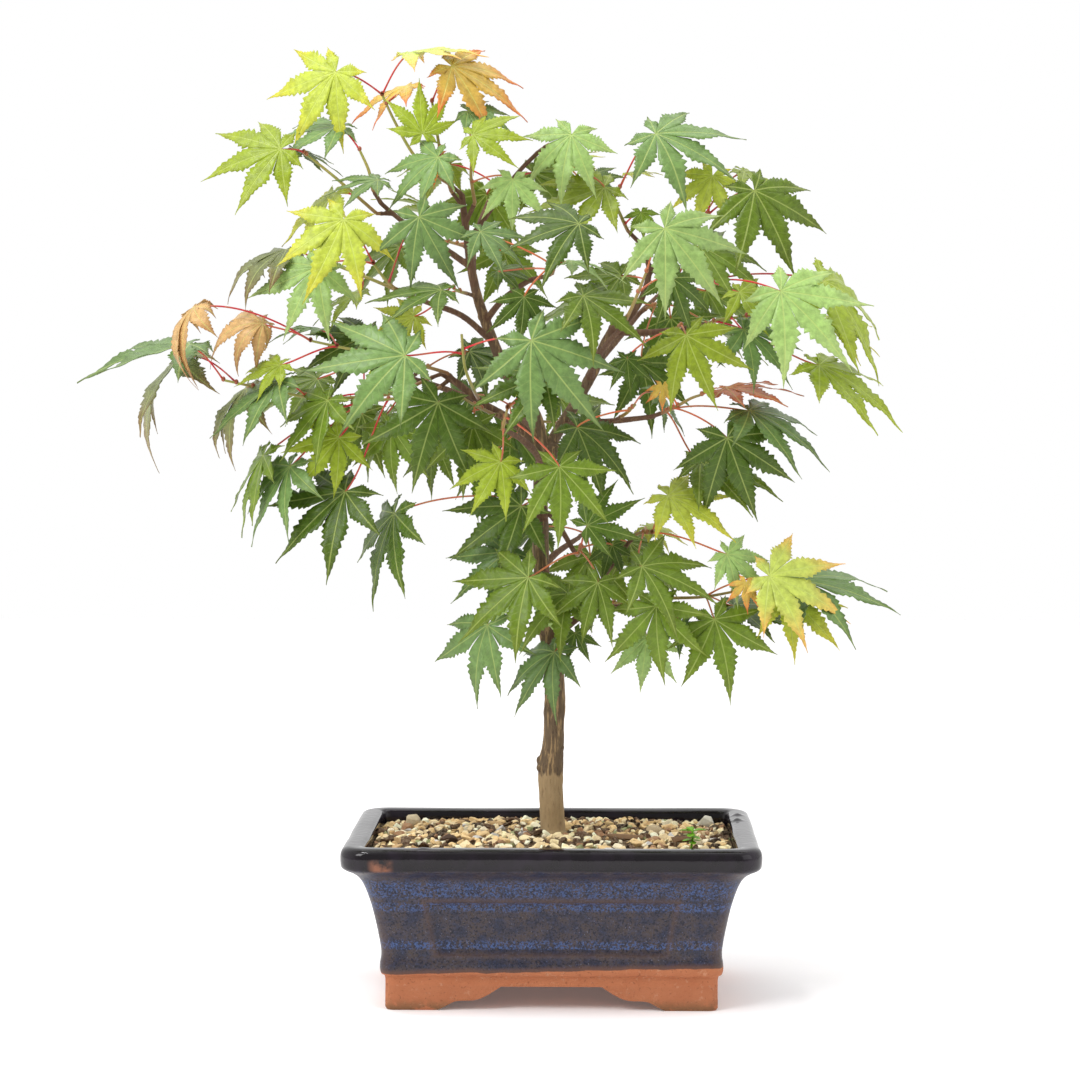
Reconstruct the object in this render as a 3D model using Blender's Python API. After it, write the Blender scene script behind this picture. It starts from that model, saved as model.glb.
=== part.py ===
"""A young Japanese maple grown as a bonsai, in a glazed rectangular pot with bracket feet.

Lengths in this script are millimetres, turned into metres where vertices are made. +Z is up, -Y is the
front. The pot stands on z = 0, and the tree's heights are measured from the pot's rim.
"""

import itertools
import math
import random

import bmesh
import bpy
from mathutils import Matrix, Vector
from mathutils.bvhtree import BVHTree

MM = 0.001
GAP = 0.3

# Pot
POT_LENGTH = 200.0
POT_DEPTH = 150.0
POT_HEIGHT = 80.0
RIM_CORNER = 14.0
BODY_CORNER = 7.0
CORNER_SOFTENING = 0.35
RIM_WIDTH = 12.0
LIP_HEIGHT = 10.7
FLOOR_LEVEL = 18.0
UNDERSIDE = 11.5
FOOT_INSET = 21.0
FOOT_WALL = 15.0
FRONT_FOOT_LENGTH = 24.5
SIDE_FOOT_LENGTH = 18.5
# How far each arch's ogee reaches in from the foot, as a share of the space beside the foot.
FRONT_OGEE = 0.44
SIDE_OGEE = 0.66
BODY_LEVEL = 27.0
PANEL_LEVEL = 28.0
PANEL_SHARE = 0.6
PANEL_DEPTH = 0.9
PANEL_MARGIN = 27.0
DRAIN_RADIUS = 6.0
DRAIN_SPACING = 90.0

# Half an arch: share of the ogee's reach, share of the rise to the underside.
ARCH = ((0.0, 0.0), (0.17, 0.17), (0.37, 0.38), (0.75, 0.44), (1.0, 0.64), (1.22, 1.0))

# The body's flare: share of the way up to the lip, inset from the rim's edge.
FLARE = ((0.0, 19.0), (0.26, 17.0), (0.52, 14.7), (0.71, 12.3), (0.875, 9.0), (0.957, 4.0))

# Soil and what lies in it
SOIL_DROP_CENTRE = 1.5
SOIL_DROP_EDGE = 6.0
SOIL_ROUGHNESS = 1.1
SCREEN_SIDE = 18.0
SCREEN_THICKNESS = 0.8

# Stones and chips: name, then place across and back as shares of the free room, (length, width, height),
# turn in degrees and colour.
SURFACE_PIECES = {
    "white_stone": (0.33, -1.0, (9, 6, 7), 20, (0.82, 0.80, 0.76)),
    "pale_stone_back": (0.94, 0.76, (13, 9, 9), 10, (0.76, 0.72, 0.60)),
    "tan_rod_stone": (-0.97, -0.98, (17, 6, 6), -14, (0.55, 0.43, 0.27)),
    "cream_stone_left": (-0.89, 0.61, (12, 8, 9), 80, (0.70, 0.58, 0.38)),
    "cream_stone_front": (-0.41, -0.95, (9, 6, 6), 40, (0.78, 0.68, 0.48)),
    "buff_stone_right": (0.61, 0.04, (10, 7, 7), -20, (0.68, 0.55, 0.36)),
    "bark_chip_long": (0.49, -0.33, (26, 6, 4), -18, (0.30, 0.19, 0.10)),
    "bark_chip_short": (0.79, -0.49, (16, 6, 4), 30, (0.24, 0.14, 0.08)),
    "bark_chip_left": (-0.63, -0.44, (15, 7, 5), 65, (0.10, 0.06, 0.04)),
}
PIECE_GAP = 0.55
SEEDLING_PLACE = (0.825, -0.8)
SEEDLING_HEIGHT = 9.0
SEEDLING_SPREAD = 13.0

# Tree
TREE_SCALE = 1.0
LEAF_SCALE = 1.0
TRUNK_SIDES = 11
BRANCH_SIDES = 6
BRANCH_STEP = 24.0
SHOOT_RADIUS = 0.95
SHOOT_TAPER = 0.25
SHOOT_SIDES = 5
STALK_SIDES = 3
PETIOLE_RADIUS = 0.5
FORWARD_LEAN = 0.25
BLADE_TOP = 0.35
BLADE_KEEL = 1.1
STALK_DEPTH = 0.6
BLADE_DROOP = 0.2
LEAF_CLEARANCE = 0.35
DEPTH_STEP = 3.0
DEPTH_STEPS = 26
RISES = (0.0, 5.0, -5.0, 10.0, -10.0, 15.0, -15.0)

# Branches: name, then (x, y, height over the rim, radius) from the base to the tip.
WOOD = {
    "trunk": ((0.5, 0, -18, 6.5), (0, 0, -2, 6.2), (-0.6, 0, 12, 5.9), (-1, 0, 30, 6.0), (0.3, 0, 44, 5.2),
              (0.8, 0, 64, 5.0), (0, 0, 84, 5.0), (-2.2, 0, 98, 4.8), (-4.4, 0, 110, 4.1),
              (-6.2, 0, 140, 3.9),
              (-6, 0, 170, 3.7), (-4, 0, 190, 3.7)),
    "left_leader": ((-4, 0, 184, 3.4), (-9, -2, 204, 3.0), (-21, -4, 221, 2.8), (-29, -4, 239, 2.6),
                    (-34, -2, 252, 2.5), (-38, 0, 265, 2.3), (-41, 2, 280, 2.0), (-43, 4, 295, 1.8),
                    (-45, 4, 312, 1.5)),
    "right_leader": ((-4, 0, 184, 3.3), (3, 3, 197, 3.0), (10, 4, 208, 2.8), (19, 5, 224, 2.7),
                     (25, 5, 238, 2.6), (30, 4, 247, 2.3)),
    "left_low": ((-5, 0, 186, 2.8), (-19, -5, 200, 2.4), (-34, -10, 209, 2.1), (-46, -12, 219, 1.8),
                 (-54, -12, 224, 1.4)),
    "lower_right": ((-1, 0, 92, 2.3), (6, -3, 99, 2.0), (13, -5, 105, 1.8), (22, -9, 110, 1.6),
                    (34, -13, 112, 1.3)),
    "lower_riser": ((13, -5, 105, 1.5), (20, -10, 116, 1.4), (27, -14, 128, 1.2), (37, -18, 142, 1.1)),
    "mid_twig": ((-6, 0, 155, 1.8), (-1, -6, 155, 1.6), (6, -12, 145, 1.4), (10, -14, 138, 1.2)),
    "lower_back": ((-5, 0, 128, 2.0), (0, 16, 134, 1.7), (8, 34, 139, 1.4), (12, 46, 141, 1.2)),
    "front_low": ((-5, 0, 176, 2.2), (-7, -18, 184, 1.9), (-14, -38, 192, 1.6), (-20, -54, 196, 1.2)),
    "back_low": ((-5, 0, 178, 2.3), (-9, 22, 190, 2.0), (-15, 46, 200, 1.6), (-20, 66, 206, 1.2)),
    "right_low": ((4, 3, 197, 2.0), (14, -6, 200, 1.7), (30, -14, 201, 1.5), (48, -17, 203, 1.2)),
    "right_out": ((29, 4, 245, 1.9), (42, 0, 244, 1.7), (56, -5, 245, 1.4), (70, -8, 247, 1.2)),
    "right_up": ((29, 4, 245, 2.0), (39, 8, 254, 1.8), (45, 10, 265, 1.6), (47, 12, 277, 1.4),
                 (42, 12, 289, 1.2)),
    "right_up_out": ((46, 11, 272, 1.4), (56, 14, 284, 1.3), (66, 15, 295, 1.1)),
    "right_back": ((22, 5, 230, 2.0), (32, 28, 242, 1.7), (42, 52, 254, 1.4), (50, 70, 262, 1.1)),
    "right_front": ((18, 5, 222, 1.8), (22, -16, 232, 1.5), (28, -38, 240, 1.3), (32, -52, 244, 1.1)),
    "centre_front": ((-33, -2, 250, 1.7), (-24, -14, 260, 1.5), (-12, -28, 268, 1.3), (-4, -36, 270, 1.1)),
    "left_up": ((-40, 1, 276, 1.7), (-56, -2, 287, 1.5), (-72, -4, 297, 1.3), (-84, -4, 307, 1.1)),
    "left_mid": ((-30, -4, 240, 1.7), (-44, -16, 252, 1.5), (-60, -26, 258, 1.3), (-70, -30, 262, 1.1)),
    "left_back": ((-34, -10, 209, 1.7), (-52, 12, 216, 1.5), (-72, 32, 222, 1.3), (-86, 46, 226, 1.1)),
    "top_back": ((-39, 0, 268, 1.7), (-40, 22, 284, 1.4), (-38, 44, 300, 1.2), (-34, 58, 312, 1.1)),
    "top_right": ((-42, 3, 288, 1.6), (-30, 6, 306, 1.4), (-18, 6, 322, 1.2), (-8, 4, 332, 1.1)),
}

# Leaf sprays: name, (spur on the wood, spur's end), shoot points after the spur, leaf tone and leaves.
# A leaf is (place along the shoot, 0 to 1), (hub x, y, height), the way its middle lobe points as seen from
# the front in degrees, how far its face turns up from facing the front in degrees, and its length.
SPRAYS = {
    "spray_top_tip": (
        ((-45, 4, 312), (-50, 4, 316)), ((-60, 3, 323), (-69, 2, 332), (-78, 1, 348), (-84, 0, 361)), "lime",
        ((1.0, (-106, -4, 371), 232, 40, 44), (1.0, (-70, -6, 380), 5, 72, 38),
         (0.9, (-72, 6, 366), 190, 75, 34))),
    "spray_top_second": (
        ((-44, 4, 305), (-49, 0, 312)), ((-55, -3, 332), (-59, -7, 357)), "lime",
        ((1.0, (-49, -9, 373), -18, 60, 44), (0.7, (-63, -16, 340), 95, 15, 27),
         (0.4, (-57, -6, 330), 270, 40, 16), (0.5, (-55, -24, 328), 212, 45, 34))),
    "spray_top_centre": (
        ((-43, 4, 298), (-39, -2, 306)), ((-40, -6, 320), (-39, -9, 334)), "sheen",
        ((1.0, (-41, -14, 351), -15, 40, 25), (0.9, (-38, -18, 338), 0, 40, 29),
         (0.4, (-19, -26, 317), 268, 30, 27))),
    "spray_top_right": (
        ((-8, 4, 332), (-4, 3, 335)), ((0, 1, 332), (4, -1, 327)), "sheen",
        ((0.6, (9, -8, 340), 255, 62, 38), (1.0, (25, -12, 315), 200, 40, 40),
         (0.3, (8, 6, 329), 20, 60, 18), (1.0, (17, 8, 322), 10, 50, 20))),
    "spray_left_up_tip": (
        ((-84, -4, 307), (-87, -4, 312)), ((-90, -4, 323), (-95, -2, 334)), "sheen",
        ((1.0, (-105, 2, 345), 176, 64, 38), (0.3, (-84, -14, 317), 190, 70, 27))),
    "spray_left_up_side": (
        ((-78, -4, 302), (-84, -6, 302)), ((-94, -7, 309), (-108, -8, 321), (-122, -8, 332)), "lime",
        ((1.0, (-131, -14, 332), 190, 28, 43), (0.95, (-126, 0, 334), -12, 84, 26),
         (0.3, (-108, 2, 312), 218, 72, 37))),
    "spray_left_mid_tip": (
        ((-70, -30, 262), (-74, -32, 264)), ((-80, -34, 269), (-86, -36, 277)), "lime",
        ((1.0, (-99, -44, 297), 250, 35, 45), (0.3, (-63, -46, 298), 300, 35, 39),
         (1.0, (-113, -30, 275), 242, 50, 40))),
    "spray_left_mid_long": (
        ((-62, -27, 259), (-68, -22, 261)), ((-84, -18, 268), (-104, -12, 276), (-116, -8, 280)), "dried",
        ((1.0, (-129, -10, 284), 182, 80, 45), (0.5, (-96, 4, 264), 205, 70, 28))),
    "spray_long_left": (
        ((-54, -12, 224), (-59, -12.5, 222)),
        ((-80, -14, 214), (-112, -16, 212), (-133, -16, 215), (-147, -16, 218), (-161, -16, 221)), "sheen",
        ((1.0, (-176, -20, 238), 186, 80, 58), (0.93, (-184, -12, 233), 222, 78, 60),
         (0.6, (-132, -26, 220), 213, 68, 43), (0.85, (-151, -8, 217), 222, 84, 45),
         (0.3, (-108, -30, 211), 225, 55, 38))),
    "spray_upper_left": (
        ((-46, -12, 219), (-50, -15, 223)),
        ((-64, -20, 228), (-84, -22, 233), (-104, -22, 237), (-118, -20, 240)),
        "dried",
        ((1.0, (-140, -22, 248), 172, 45, 35), (1.0, (-169, -12, 255), 228, 80, 40),
         (0.8, (-131, -6, 228), 200, 60, 25), (0.8, (-114, 0, 246), 175, 80, 26),
         (0.4, (-92, -8, 242), 200, 45, 38))),
    "spray_left_under": (
        ((-50, -12, 221.5), (-54, -16, 218)), ((-68, -20, 213), (-84, -22, 211), (-97, -20, 209)), "green",
        ((1.0, (-141, -14, 184), 241, 82, 42), (0.9, (-127, -24, 179), 236, 75, 42),
         (0.8, (-103, -36, 193), 232, 20, 33), (0.6, (-100, -28, 167), 222, 50, 50),
         (0.4, (-78, -18, 198), 262, 65, 33))),
    "spray_left_front": (
        ((-34, -10, 209), (-36, -18, 212)), ((-38, -34, 217), (-41, -52, 227), (-42, -62, 242)), "sheen",
        ((0.8, (-68, -74, 232), 185, 30, 52), (0.85, (-9, -74, 239), 307, 30, 52))),
    "spray_left_dark": (
        ((-38, 0, 262), (-42, -9, 263)), ((-46, -18, 264), (-49, -26, 266)), "deep",
        ((0.8, (-52, -36, 263), 180, 72, 38), (0.4, (-70, 30, 253), 200, 40, 27))),
    "spray_left_inner": (
        ((-24, -6, 203), (-28, -14, 204)), ((-36, -27, 208), (-44, -38, 213)), "deep",
        ((1.0, (-54, -46, 210), 250, 25, 46), (0.6, (-38, -30, 199), 256, 60, 37),
         (0.4, (-58, -6, 192), 262, 82, 30))),
    "spray_front_low": (
        ((-20, -54, 196), (-22, -58, 197)), ((-22, -64, 201), (-20, -72, 208)), "deep",
        ((1.0, (-3, -64, 222), 200, 25, 40), (0.3, (-24, -50, 182), 240, 25, 31),
         (0.6, (4, -66, 180), 275, 25, 39), (1.0, (-12, -56, 213), 90, 20, 13))),
    "spray_mid_left": (
        ((-6, 0, 160), (-5, -8, 160)), ((-5, -16, 161), (-8, -24, 163)), "deep",
        ((1.0, (-15, -28, 160), 215, 30, 43), (0.7, (-77, -16, 156), 240, 80, 48),
         (0.3, (-22, -34, 138), 215, 45, 38))),
    "spray_mid_right": (
        ((10, -14, 138), (11.5, -18, 136.5)), ((13, -22, 137), (14, -28, 141)), "green",
        ((1.0, (17, -34, 151), 30, 20, 30), (0.4, (-11, -46, 127), 214, 40, 46),
         (0.6, (22, -42, 124), 250, 35, 32), (0.8, (29, -22, 141), 250, 30, 19))),
    "spray_mid_right_out": (
        ((37, -18, 142), (40, -19, 145)), ((44, -22, 147), (49, -24, 147)), "fresh",
        ((0.5, (43, -46, 132), 345, 40, 42), (1.0, (56, -22, 165), 335, 50, 40),
         (1.0, (84, -30, 137), 330, 35, 28), (0.7, (46, -6, 149), 345, 70, 22))),
    "spray_lower_tip": (
        ((34, -13, 112), (38, -14, 112.6)), ((56, -20, 115), (73, -24, 116), (90, -24, 119)), "lime",
        ((0.7, (104, -36, 127), 345, 35, 45), (1.0, (119, -20, 124), 346, 65, 53),
         (1.0, (112, -28, 118), 315, 55, 40), (0.95, (93, -42, 124), 265, 40, 15),
         (0.7, (88, -12, 111), 350, 70, 38), (0.7, (78, -38, 106), 290, 25, 41))),
    "spray_lower_mid": (
        ((22, -9, 110), (26, -14, 112)), ((36, -22, 113), (46, -30, 115)), "green",
        ((1.0, (50, -44, 113), 268, 30, 39), (0.4, (46, -22, 96), 262, 45, 28),
         (0.9, (62, -24, 104), 265, 40, 19), (0.2, (8, -36, 118), 215, 35, 37))),
    "spray_lower_left": (
        ((-5, 0, 118), (-7, -8, 119)), ((-8, -12, 119), (-10, -16, 118)), "pale",
        ((0.8, (-32, -10, 101), 245, 70, 42), (1.0, (-9, -22, 122), 245, 40, 31))),
    "spray_trunk_low": (
        ((5, -3, 98), (6, -9, 98)), ((7, -12, 97.5), (7, -16, 97)), "sheen",
        ((1.0, (1, -24, 89), 235, 60, 38), (0.8, (11, -18, 98), 300, 30, 17))),
    "spray_right_low_tip": (
        ((48, -17, 203), (52, -17.5, 204.5)), ((60, -18, 208), (67, -19, 212), (73, -20, 214)), "deep",
        ((1.0, (84, -18, 217), 15, 86, 38), (0.2, (95, -22, 206), 335, 60, 47),
         (0.3, (84, -32, 193), 290, 25, 44), (0.1, (72, -8, 181), 345, 60, 44),
         (0.4, (53, -28, 218), 270, 40, 13))),
    "spray_right_low_mid": (
        ((30, -14, 201), (33, -20, 203)), ((36, -24, 205), (40, -28, 209)), "deep",
        ((0.6, (12, -32, 198), 330, 55, 42), (0.8, (50, -4, 215), 320, 85, 27))),
    "spray_right_out_tip": (
        ((70, -8, 247), (74, -8.5, 248)), ((80, -9, 250), (88, -10, 251), (95, -10, 252)), "fresh",
        ((0.2, (129, -16, 228), 345, 65, 50), (0.6, (92, -26, 245), 325, 50, 37),
         (1.0, (134, -6, 249), 345, 70, 31))),
    "spray_right_out_mid": (
        ((56, -5, 245), (58, -11, 245)), ((61, -20, 246), (62, -30, 247)), "fresh",
        ((1.0, (64, -42, 242), 290, 25, 39), (0.6, (36, -30, 231), 275, 40, 19))),
    "spray_right_far": (
        ((47, 12, 277), (52, 8, 275)), ((62, 3, 271), (76, 0, 268)), "fresh",
        ((0.9, (132, -6, 269), 318, 70, 58), (1.0, (109, -16, 263), 315, 45, 52),
         (0.8, (90, -24, 263), 335, 45, 30), (0.4, (71, -14, 286), 330, 60, 41))),
    "spray_right_up_tip": (
        ((42, 12, 289), (38, 11, 293)), ((33, 9, 302), (30, 7, 310), (33, 5, 316)), "sheen",
        ((1.0, (50, 0, 341), 335, 40, 49), (0.2, (43, 2, 303), 280, 40, 15),
         (0.9, (37, 6, 323), 0, 80, 17))),
    "spray_right_up_out": (
        ((66, 15, 295), (69, 14, 297)), ((73, 12, 300), (77, 10, 303)), "green",
        ((0.9, (78, 4, 321), 250, 40, 29), (1.0, (98, -2, 313), 300, 30, 47),
         (0.5, (94, 16, 324), 330, 70, 31))),
    "spray_right_front": (
        ((32, -52, 244), (34, -56, 247)), ((39, -61, 257), (45, -65, 272)), "pale",
        ((1.0, (53, -72, 291), 310, 35, 47), (0.6, (57, -44, 269), 290, 45, 29),
         (0.1, (15, -62, 260), 325, 45, 39))),
    "spray_centre_front": (
        ((-4, -36, 270), (-1, -39, 271)), ((1, -43, 274), (3, -48, 278)), "deep",
        ((0.8, (-13, -54, 260), 268, 25, 26), (1.0, (13, -56, 294), 195, 40, 39),
         (0.7, (9, -40, 277), 0, 80, 28), (0.3, (-26, -32, 273), 0, 50, 20),
         (0.5, (-34, -44, 291), 330, 55, 31))),
    "spray_top_back_tip": (
        ((-34, 58, 312), (-32, 61, 314)), ((-30, 64, 317), (-28, 68, 320)), "green",
        ((1.0, (-54, 70, 332), 200, 120, 36), (0.8, (-12, 76, 328), -20, 130, 36),
         (1.0, (-36, 92, 318), 265, 140, 38))),
    "spray_top_back_mid": (
        ((-40, 22, 284), (-44, 26, 287)), ((-52, 32, 290), (-60, 36, 292)), "green",
        ((1.0, (-78, 42, 288), 215, 110, 36), (0.6, (-60, 52, 306), 160, 105, 34),
         (0.3, (-26, 44, 286), 290, 125, 36))),
    "spray_back_low_tip": (
        ((-20, 66, 206), (-21, 70, 207)), ((-22, 74, 208), (-24, 80, 208)), "deep",
        ((0.8, (-44, 92, 214), 210, 125, 40), (0.8, (2, 90, 212), -30, 130, 38),
         (1.0, (-24, 108, 196), 265, 140, 42))),
    "spray_back_low_mid": (
        ((-15, 46, 200), (-11, 50, 200)), ((-6, 54, 200), (0, 56, 200)), "deep",
        ((1.0, (16, 62, 190), 300, 120, 36), (0.2, (-34, 50, 182), 245, 110, 34))),
    "spray_right_back_tip": (
        ((50, 70, 262), (52, 73, 264)), ((55, 77, 267), (58, 82, 269)), "green",
        ((1.0, (78, 92, 268), -20, 120, 40), (0.8, (34, 96, 276), 200, 130, 38),
         (1.0, (60, 106, 254), 280, 140, 42))),
    "spray_right_back_mid": (
        ((42, 52, 254), (46, 48, 257)), ((52, 44, 259), (58, 40, 259)), "green",
        ((1.0, (78, 38, 250), -30, 95, 36), (0.4, (44, 66, 230), 285, 130, 38),
         (0.3, (18, 54, 262), 200, 110, 34))),
    "spray_left_back_tip": (
        ((-86, 46, 226), (-89, 49, 227)), ((-93, 53, 228), (-98, 57, 228)), "green",
        ((1.0, (-122, 62, 222), 205, 110, 40), (0.7, (-88, 78, 234), 150, 125, 36),
         (1.0, (-100, 72, 204), 250, 130, 40))),
    "spray_left_back_mid": (
        ((-72, 32, 222), (-70, 38, 224)), ((-68, 44, 226), (-64, 50, 228)), "deep",
        ((1.0, (-44, 60, 236), 330, 120, 34), (0.2, (-84, 22, 204), 235, 100, 34))),
    "spray_lower_back": (
        ((12, 46, 141), (13, 50, 142)), ((14, 54, 143), (16, 60, 143)), "deep",
        ((1.0, (38, 68, 138), -35, 120, 38), (0.7, (-8, 66, 146), 210, 125, 38),
         (1.0, (18, 84, 130), 275, 140, 40))),
}

TONES = {
    "lime": (0.42, 0.52, 0.06),
    "fresh": (0.24, 0.40, 0.07),
    "green": (0.13, 0.27, 0.06),
    "deep": (0.06, 0.17, 0.045),
    "sheen": (0.20, 0.30, 0.16),
    "pale": (0.40, 0.50, 0.28),
    "dried": (0.38, 0.25, 0.10),
}

# A lobe is (angle, length as a share of the leaf's, whether it has shoulders); a notch is (angle, share).
LOBES = ((128, 0.34, False), (80, 0.66, False), (39, 0.90, True))
NOTCHES = ((104, 0.16), (60, 0.26), (19.5, 0.30))
SINUS = 0.05
SHOULDER_SHARE = 0.52
SHOULDER_ANGLE = 13.5


def clear_scene():
    for obj in list(bpy.data.objects):
        bpy.data.objects.remove(obj, do_unlink=True)


def make_material(name, colour, roughness, metallic=0.0):
    material = bpy.data.materials.new(name)
    material.use_nodes = True
    shader = material.node_tree.nodes["Principled BSDF"]
    shader.inputs["Base Color"].default_value = (*colour, 1.0)
    shader.inputs["Roughness"].default_value = roughness
    shader.inputs["Metallic"].default_value = metallic
    return material


def add_object(name, mesh, material=None):
    obj = bpy.data.objects.new(name, mesh)
    bpy.context.scene.collection.objects.link(obj)
    mesh.materials.clear()
    if material is not None:
        mesh.materials.append(material)
    return obj


def mesh_of(name, shape):
    """A mesh in metres from (points in millimetres, faces)."""
    points, faces = shape
    mesh = bpy.data.meshes.new(name)
    mesh.from_pydata([Vector(point) * MM for point in points], [], faces)
    body = bmesh.new()
    body.from_mesh(mesh)
    bmesh.ops.recalc_face_normals(body, faces=body.faces)
    body.to_mesh(mesh)
    body.free()
    return mesh


def add_cutter(name, shape):
    cutter = add_object(name, mesh_of(name, shape))
    cutter.hide_render = True
    cutter.display_type = "WIRE"
    return cutter


def combine(obj, helpers, operation):
    """Applies one exact Boolean between an object and each helper, and removes the helpers."""
    group = bpy.data.collections.new(obj.name + "_helpers")
    bpy.context.scene.collection.children.link(group)
    for helper in helpers:
        group.objects.link(helper)
    boolean = obj.modifiers.new(operation.title(), "BOOLEAN")
    boolean.operation = operation
    boolean.operand_type = "COLLECTION"
    boolean.collection = group
    boolean.solver = "EXACT"
    graph = bpy.context.evaluated_depsgraph_get()
    mesh = bpy.data.meshes.new_from_object(obj.evaluated_get(graph))
    obj.modifiers.clear()
    obj.data = mesh
    for helper in helpers:
        bpy.data.objects.remove(helper, do_unlink=True)
    bpy.data.collections.remove(group)


def shade_smooth(obj, angle=40.0):
    obj.data.shade_smooth()
    obj.data.set_sharp_from_angle(angle=math.radians(angle))


def smooth_route(points, step):
    """A Catmull-Rom curve through points of any size, sampled about every step millimetres."""
    points = [Vector(point) for point in points]
    padded = [2 * points[0] - points[1], *points, 2 * points[-1] - points[-2]]
    route = []
    for a, b, c, d in zip(padded, padded[1:], padded[2:], padded[3:]):
        count = max(1, round((c - b).length / step))
        for i in range(count):
            t = i / count
            route.append(0.5 * (2 * b + (c - a) * t + (2 * a - 5 * b + 4 * c - d) * t * t
                                + (3 * b - a - 3 * c + d) * t ** 3))
    route.append(points[-1])
    return route


def tube(points, radii, sides):
    """A closed tube with flat ends along a polyline."""
    points = [Vector(point) for point in points]
    tangents = [(b - a).normalized() for a, b in zip(points, points[1:])]
    tangents = [tangents[0], *[(a + b).normalized() for a, b in zip(tangents, tangents[1:])], tangents[-1]]
    across = tangents[0].orthogonal().normalized()
    corners = []
    for point, tangent, radius in zip(points, tangents, radii):
        across = (across - across.dot(tangent) * tangent).normalized()
        other = tangent.cross(across)
        for i in range(sides):
            turn = 2 * math.pi * i / sides
            corners.append(point + radius * (math.cos(turn) * across + math.sin(turn) * other))
    faces = [tuple(range(sides))[::-1], tuple(range(len(corners) - sides, len(corners)))]
    for ring in range(len(points) - 1):
        for i in range(sides):
            a = ring * sides + i
            b = ring * sides + (i + 1) % sides
            faces.append((a, b, b + sides, a + sides))
    return corners, faces


def rounded_rectangle(half_x, half_y, radius, z, steps=4):
    """Corners anticlockwise from above."""
    radius = min(radius, half_x, half_y)
    points = []
    for quarter, (sign_x, sign_y) in enumerate(((1, 1), (-1, 1), (-1, -1), (1, -1))):
        for i in range(steps + 1):
            turn = math.radians(90 * (quarter + i / steps))
            points.append((sign_x * (half_x - radius) + radius * math.cos(turn),
                           sign_y * (half_y - radius) + radius * math.sin(turn), z))
    return points


def loft(rings):
    """A closed shape through rings with the same number of points."""
    count = len(rings[0])
    points = [point for ring in rings for point in ring]
    faces = [tuple(range(count))[::-1], tuple(range(len(points) - count, len(points)))]
    for ring in range(len(rings) - 1):
        for i in range(count):
            a = ring * count + i
            b = ring * count + (i + 1) % count
            faces.append((a, b, b + count, a + count))
    return points, faces


def box(low, high):
    ends = [(low[0], low[1]), (high[0], low[1]), (high[0], high[1]), (low[0], high[1])]
    return loft([[(x, y, low[2]) for x, y in ends], [(x, y, high[2]) for x, y in ends]])


def prism(outline, axis, reach):
    """An outline of (across, up) points pushed along x or y, both ways."""
    if axis == "y":
        rings = [[(u, end, v) for u, v in outline] for end in (-reach, reach)]
    else:
        rings = [[(end, u, v) for u, v in outline] for end in (-reach, reach)]
    return loft(rings)


def pot_ring(inset, z, corner):
    return rounded_rectangle(POT_LENGTH / 2 - inset, POT_DEPTH / 2 - inset, corner, z)


def body_inset(z):
    """How far the outer wall stands in from the rim's edge at height z."""
    rows = pot_profile()
    for (low, inset_low, _), (high, inset_high, _) in zip(rows, rows[1:]):
        if low <= z <= high:
            return inset_low + (inset_high - inset_low) * (z - low) / (high - low)
    return 0.0


def pot_profile():
    """(height, inset, corner radius) up the outside, from the feet to the lip's lower edge."""
    lip = POT_HEIGHT - LIP_HEIGHT
    rows = [(0.0, FOOT_INSET, BODY_CORNER - 3), (15.0, FOOT_INSET - 0.7, BODY_CORNER - 2),
            (18.0, FOOT_INSET - 3.4, BODY_CORNER), (24.0, FOOT_INSET - 3.4, BODY_CORNER)]
    for share, inset in FLARE:
        corner = BODY_CORNER + (FLARE[0][1] - inset) * CORNER_SOFTENING
        rows.append((BODY_LEVEL + share * (lip - BODY_LEVEL), inset, corner))
    rows.append((lip + 0.7, 0.6, RIM_CORNER))
    return rows


def cavity_profile():
    """(height, inset, corner radius) of the inside, from the floor to the rim."""
    return ((FLOOR_LEVEL, 27.5, 5.0), (46.0, 21.5, 4.0), (POT_HEIGHT - LIP_HEIGHT - 2, RIM_WIDTH + 1.2, 4.0),
            (POT_HEIGHT - 1.6, RIM_WIDTH, 4.0))


def arch_outline(run, ogee_share):
    """The opening between two feet: an ogee from each foot's flat edge up to the underside."""
    half = [(run, -2.0)]
    for share, rise in ARCH:
        half.append((run * (1 - ogee_share * share), UNDERSIDE * rise))
    return half + [(-u, v) for u, v in half[::-1]]


def panel_cutter(side):
    """A shallow wedge that follows the sloping wall; side is 0 front, 1 right, 2 back, 3 left."""
    long_side = side % 2 == 0
    half_across = (POT_LENGTH if long_side else POT_DEPTH) / 2
    half_out = (POT_DEPTH if long_side else POT_LENGTH) / 2
    low = PANEL_LEVEL
    high = PANEL_LEVEL + PANEL_SHARE * (POT_HEIGHT - LIP_HEIGHT - PANEL_LEVEL)
    points = []
    for z in (low, high):
        wide = half_across - body_inset(z) - PANEL_MARGIN
        wall = half_out - body_inset(z)
        for across, out in ((-wide, wall + 8), (wide, wall + 8), (wide, wall - PANEL_DEPTH),
                            (-wide, wall - PANEL_DEPTH)):
            points.append((across, -out, z))
    turn = Matrix.Rotation(math.radians(90 * side), 3, "Z")
    faces = loft([points[:4], points[4:]])[1]
    return [turn @ Vector(point) for point in points], faces


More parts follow.
